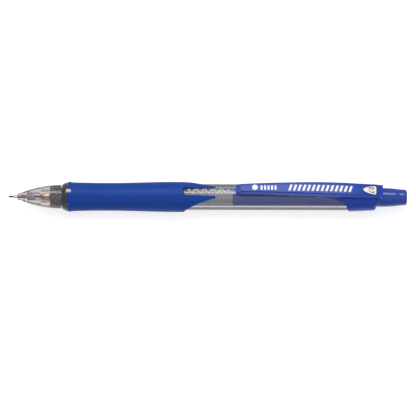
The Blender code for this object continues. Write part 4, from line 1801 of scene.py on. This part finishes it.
    def build_badge(self) -> None:
        """Make the white badge with its dark rim and printed lead size."""
        low, high = -self.badge_inset, self.badge_thickness - self.badge_inset
        badge = slab("lead_size_badge", self.badge_outline(0.0), low, high)
        self.dress(badge, DARK_INK, WHITE_PLATE)
        with editing(badge, "FACE"):
            level = at(0, 0, high).z - 0.01 * MM
            choose(badge, "faces", lambda face: all(point.co.z > level for point in face.verts))
            bpy.ops.mesh.inset(thickness=self.badge_rim * MM, depth=0.0)
            rise = (0, 0, self.badge_rise * MM)
            bpy.ops.mesh.extrude_region_move(TRANSFORM_OT_translate={"value": rise})
            taper, centre = self.badge_taper, at(self.badge_centre, 0, high)
            bpy.ops.transform.resize(value=(taper, taper, 1.0), center_override=centre)
            badge.active_material_index = 1
            bpy.ops.object.material_slot_assign()
        bpy.ops.object.select_all(action="DESELECT")
        bpy.ops.object.text_add(location=at(self.digits_at, 0.0, high + 0.045))
        digits = bpy.context.object
        digits.data.body = "0.7"
        digits.data.size = self.digits_size * MM
        digits.data.align_x = "CENTER"
        digits.data.extrude = digits.data.offset = self.digits_depth * MM
        digits.scale = (self.digits_width, 1, 1)
        digits.rotation_euler = (0, 0, -math.pi / 2)
        bpy.ops.object.convert(target="MESH")
        digits = settle(bpy.context.object)
        with editing(digits):
            face_outward()
        self.dress(digits, DARK_INK)
        gather(badge, [digits])
        reshape(badge, self.lay_on_slope)
        settle(badge)
        self.keep(badge, Body.HOLDER, "badge_white", "size_badge")

    def build(self) -> None:
        """Make the cap, the clip and the badge."""
        self.build_moulding()
        self.build_badge()


@dataclass
class PushButton(SubAssembly):
    """The push button that caps the lead tube."""

    front: float = 128.2
    radius: float = 3.5
    taper_front: float = 137.5
    taper_rear: float = 144.4
    taper: float = 0.5
    rear: float = 147.0
    corner: float = 1.2
    crown: float = 0.12
    socket: float = 2.55
    socket_rear: float = 132.15
    room: float = 2.05
    room_rear: float = 140.5

    def build(self) -> None:
        """Turn the button with a softly crowned end."""
        corners = [(self.front, self.socket, 0.06), (self.front, self.radius, 0.2)]
        for x in spread(self.taper_front - 4, self.taper_rear, 20):
            along = max(0.0, x - self.taper_front) / (self.taper_rear - self.taper_front)
            corners.append((x, self.radius - self.taper * along**2, 0.0))
        end = self.radius - self.taper - 0.1
        corners.append((self.rear - self.crown, end, self.corner))
        corners += [(self.rear, 0.0, 0.0), (self.room_rear, 0.0, 0.0)]
        corners += [
            (self.room_rear, self.room, 0.3), (self.socket_rear, self.room, 0.05),
            (self.socket_rear, self.socket, 0.05),
        ]
        profile = rounded(corners, 8)
        seat = profile.index((self.room_rear, 0.0))
        profile = profile[seat:] + profile[:seat]
        button = turned("blue_push_button", profile, Steps.LARGE, closed=False)
        self.keep(self.dress(button, BLUE_BUTTON), Body.BUTTON, "button_plastic", "push_button")


@dataclass
class Eraser(SubAssembly):
    """The eraser under the push button, and the cup that holds it in the lead tube."""

    front: float = 126.0
    rear: float = 139.2
    radius: float = 1.7
    corner: float = 0.35
    cup_front: float = 125.2
    cup_rear: float = 131.8
    cup_outer: float = 1.86
    cup_inner: float = 1.74
    cup_floor: float = 0.25

    def build(self) -> None:
        """Turn the eraser and draw its cup."""
        corners = [
            (self.front, self.radius, 0.1), (self.rear, self.radius, self.corner),
            (self.rear, 0.0, 0.0), (self.front, 0.0, 0.0),
        ]
        profile = rounded(corners, 6)
        eraser = turned("vinyl_eraser", [profile[-1]] + profile[:-1], Steps.SMALL, closed=False)
        self.keep(self.dress(eraser, VINYL), Body.LEAD_UNIT, "eraser_vinyl", "eraser")
        floor = self.cup_front + self.cup_floor
        cup_corners = [
            (self.cup_front, self.cup_outer, 0.2), (self.cup_rear, self.cup_outer, 0.05),
            (self.cup_rear, self.cup_inner, 0.04), (floor, self.cup_inner, 0.1), (floor, 0.0, 0.0),
            (self.cup_front, 0.0, 0.0),
        ]
        outline = rounded(cup_corners, 4)
        cup = turned("aluminium_ferrule", [outline[-1]] + outline[:-1], Steps.SMALL, closed=False)
        self.keep(self.dress(cup, ALUMINIUM), Body.LEAD_UNIT, "ferrule_aluminium", "eraser_ferrule")


# ---------------------------------------------------------------- studio


@dataclass
class Studio:
    """A pale light table, a soft key light, a bright dome and the camera."""

    floor_size: float = 6.0
    floor_glow: float = 0.7
    dome_low: float = 0.52
    dome_high: float = 0.74
    key_power: float = 2.3
    key_length: float = 0.58
    key_width: float = 0.34
    key_forward: float = 0.07
    key_distance: float = 0.75
    key_elevation: float = 69.0
    elevation: float = 65.0
    frame_width: float = 0.1534
    axis_above_centre: float = 4.06
    roll: float = 0.12

    def lay_floor(self) -> None:
        """Lay the pale floor under the pencil."""
        bpy.ops.object.select_all(action="DESELECT")
        bpy.ops.mesh.primitive_circle_add(
            vertices=96, radius=self.floor_size / 2, fill_type="NGON", location=(0, 0, -0.0001)
        )
        floor = bpy.context.object
        floor.name = "studio_floor"
        with editing(floor, "FACE"):
            bpy.ops.mesh.inset(thickness=0.2)
        material = bpy.data.materials.new("white_light_table")
        material.use_nodes = True
        shader = material.node_tree.nodes["Principled BSDF"]
        tree = material.node_tree
        speck = add_node(tree, "ShaderNodeTexNoise", {"Scale": 8.0}, {})
        ends = {"data_type": "RGBA", 6: linear("c4c4c4"), 7: linear("cacaca")}
        tone = add_node(tree, "ShaderNodeMix", ends, {0: speck.outputs["Fac"]})
        tree.links.new(tone.outputs[2], shader.inputs["Base Color"])
        shader.inputs["Roughness"].default_value = 0.9
        shader.inputs["Specular IOR Level"].default_value = 0.0
        slant = add_node(tree, "ShaderNodeLayerWeight", {"Blend": 0.5}, {})
        glow = ramp(tree, slant.outputs["Facing"], (0.6, 0.1), (0.0, self.floor_glow))
        tree.links.new(glow, shader.inputs["Emission Strength"])
        shader.inputs["Emission Color"].default_value = linear("ffffff")
        floor.data.materials.append(material)

    def light(self) -> None:
        """Set the dome and the key light."""
        world = bpy.data.worlds.new("studio_dome")
        bpy.context.scene.world = world
        world.use_nodes = True
        tree = world.node_tree
        places = add_node(tree, "ShaderNodeTexCoord", {}, {})
        parts = add_node(tree, "ShaderNodeSeparateXYZ", {}, {"Vector": places.outputs["Generated"]})
        rise = ramp(tree, parts.outputs["Z"], (0.0, 0.9), (self.dome_low, self.dome_high))
        background = tree.nodes["Background"]
        background.inputs["Color"].default_value = linear("ffffff")
        tree.links.new(rise, background.inputs["Strength"])

        light = bpy.data.lights.new("soft_key", "AREA")
        light.shape = "RECTANGLE"
        light.size = self.key_length
        light.size_y = self.key_width
        light.energy = self.key_power
        key = bpy.data.objects.new("soft_key", light)
        bpy.context.scene.collection.objects.link(key)
        tilt = math.radians(self.key_elevation)
        toward = Vector((0.0, math.cos(tilt), math.sin(tilt)))
        key.location = toward * self.key_distance - Vector((self.key_forward, 0, 0))
        key.rotation_euler = toward.to_track_quat("Z", "Y").to_euler()

    def place_camera(self) -> None:
        """Look at the pencil from above and in front, along its side."""
        camera = bpy.data.cameras.new("camera")
        camera.type = "ORTHO"
        camera.ortho_scale = self.frame_width
        camera.clip_end = 10
        eye = bpy.data.objects.new("camera", camera)
        bpy.context.scene.collection.objects.link(eye)
        rise = math.radians(self.elevation)
        back = Vector((0.0, -math.cos(rise), math.sin(rise)))
        up = Vector((0.0, math.sin(rise), math.cos(rise)))
        target = Vector((0, 0, AXIS_Z)) - up * self.axis_above_centre * MM
        right = Vector((1, 0, 0))
        lean = Matrix.Rotation(math.radians(self.roll), 3, back)
        axes = Matrix((right, up, back)).transposed()
        eye.matrix_world = Matrix.Translation(target + back * 0.5) @ (lean @ axes).to_4x4()
        bpy.context.scene.camera = eye

    def build(self) -> None:
        """Set up the floor, lights, camera and light paths."""
        self.lay_floor()
        self.light()
        self.place_camera()
        scene = bpy.context.scene
        scene.view_settings.view_transform = "Standard"
        scene.view_settings.look = "None"
        scene.cycles.max_bounces = 24
        scene.cycles.transmission_bounces = 24
        scene.cycles.transparent_max_bounces = 16
        scene.cycles.diffuse_bounces = 6


def main() -> None:
    """Build the pencil's sub-assemblies in order, then the studio."""
    logging.basicConfig(level=logging.INFO, format="%(message)s")
    front = (Leads, WritingPoint, NoseCone, Clutch, LeadTube, Barrel, Grip)
    for kind in (*front, InnerSleeve, CapAndClip, PushButton, Eraser):
        part = kind()
        part.build()
        LOG.info("%s done, %d pieces", type(part).__name__, len(part.pieces))
    Studio().build()


if __name__ == "__main__":
    main()
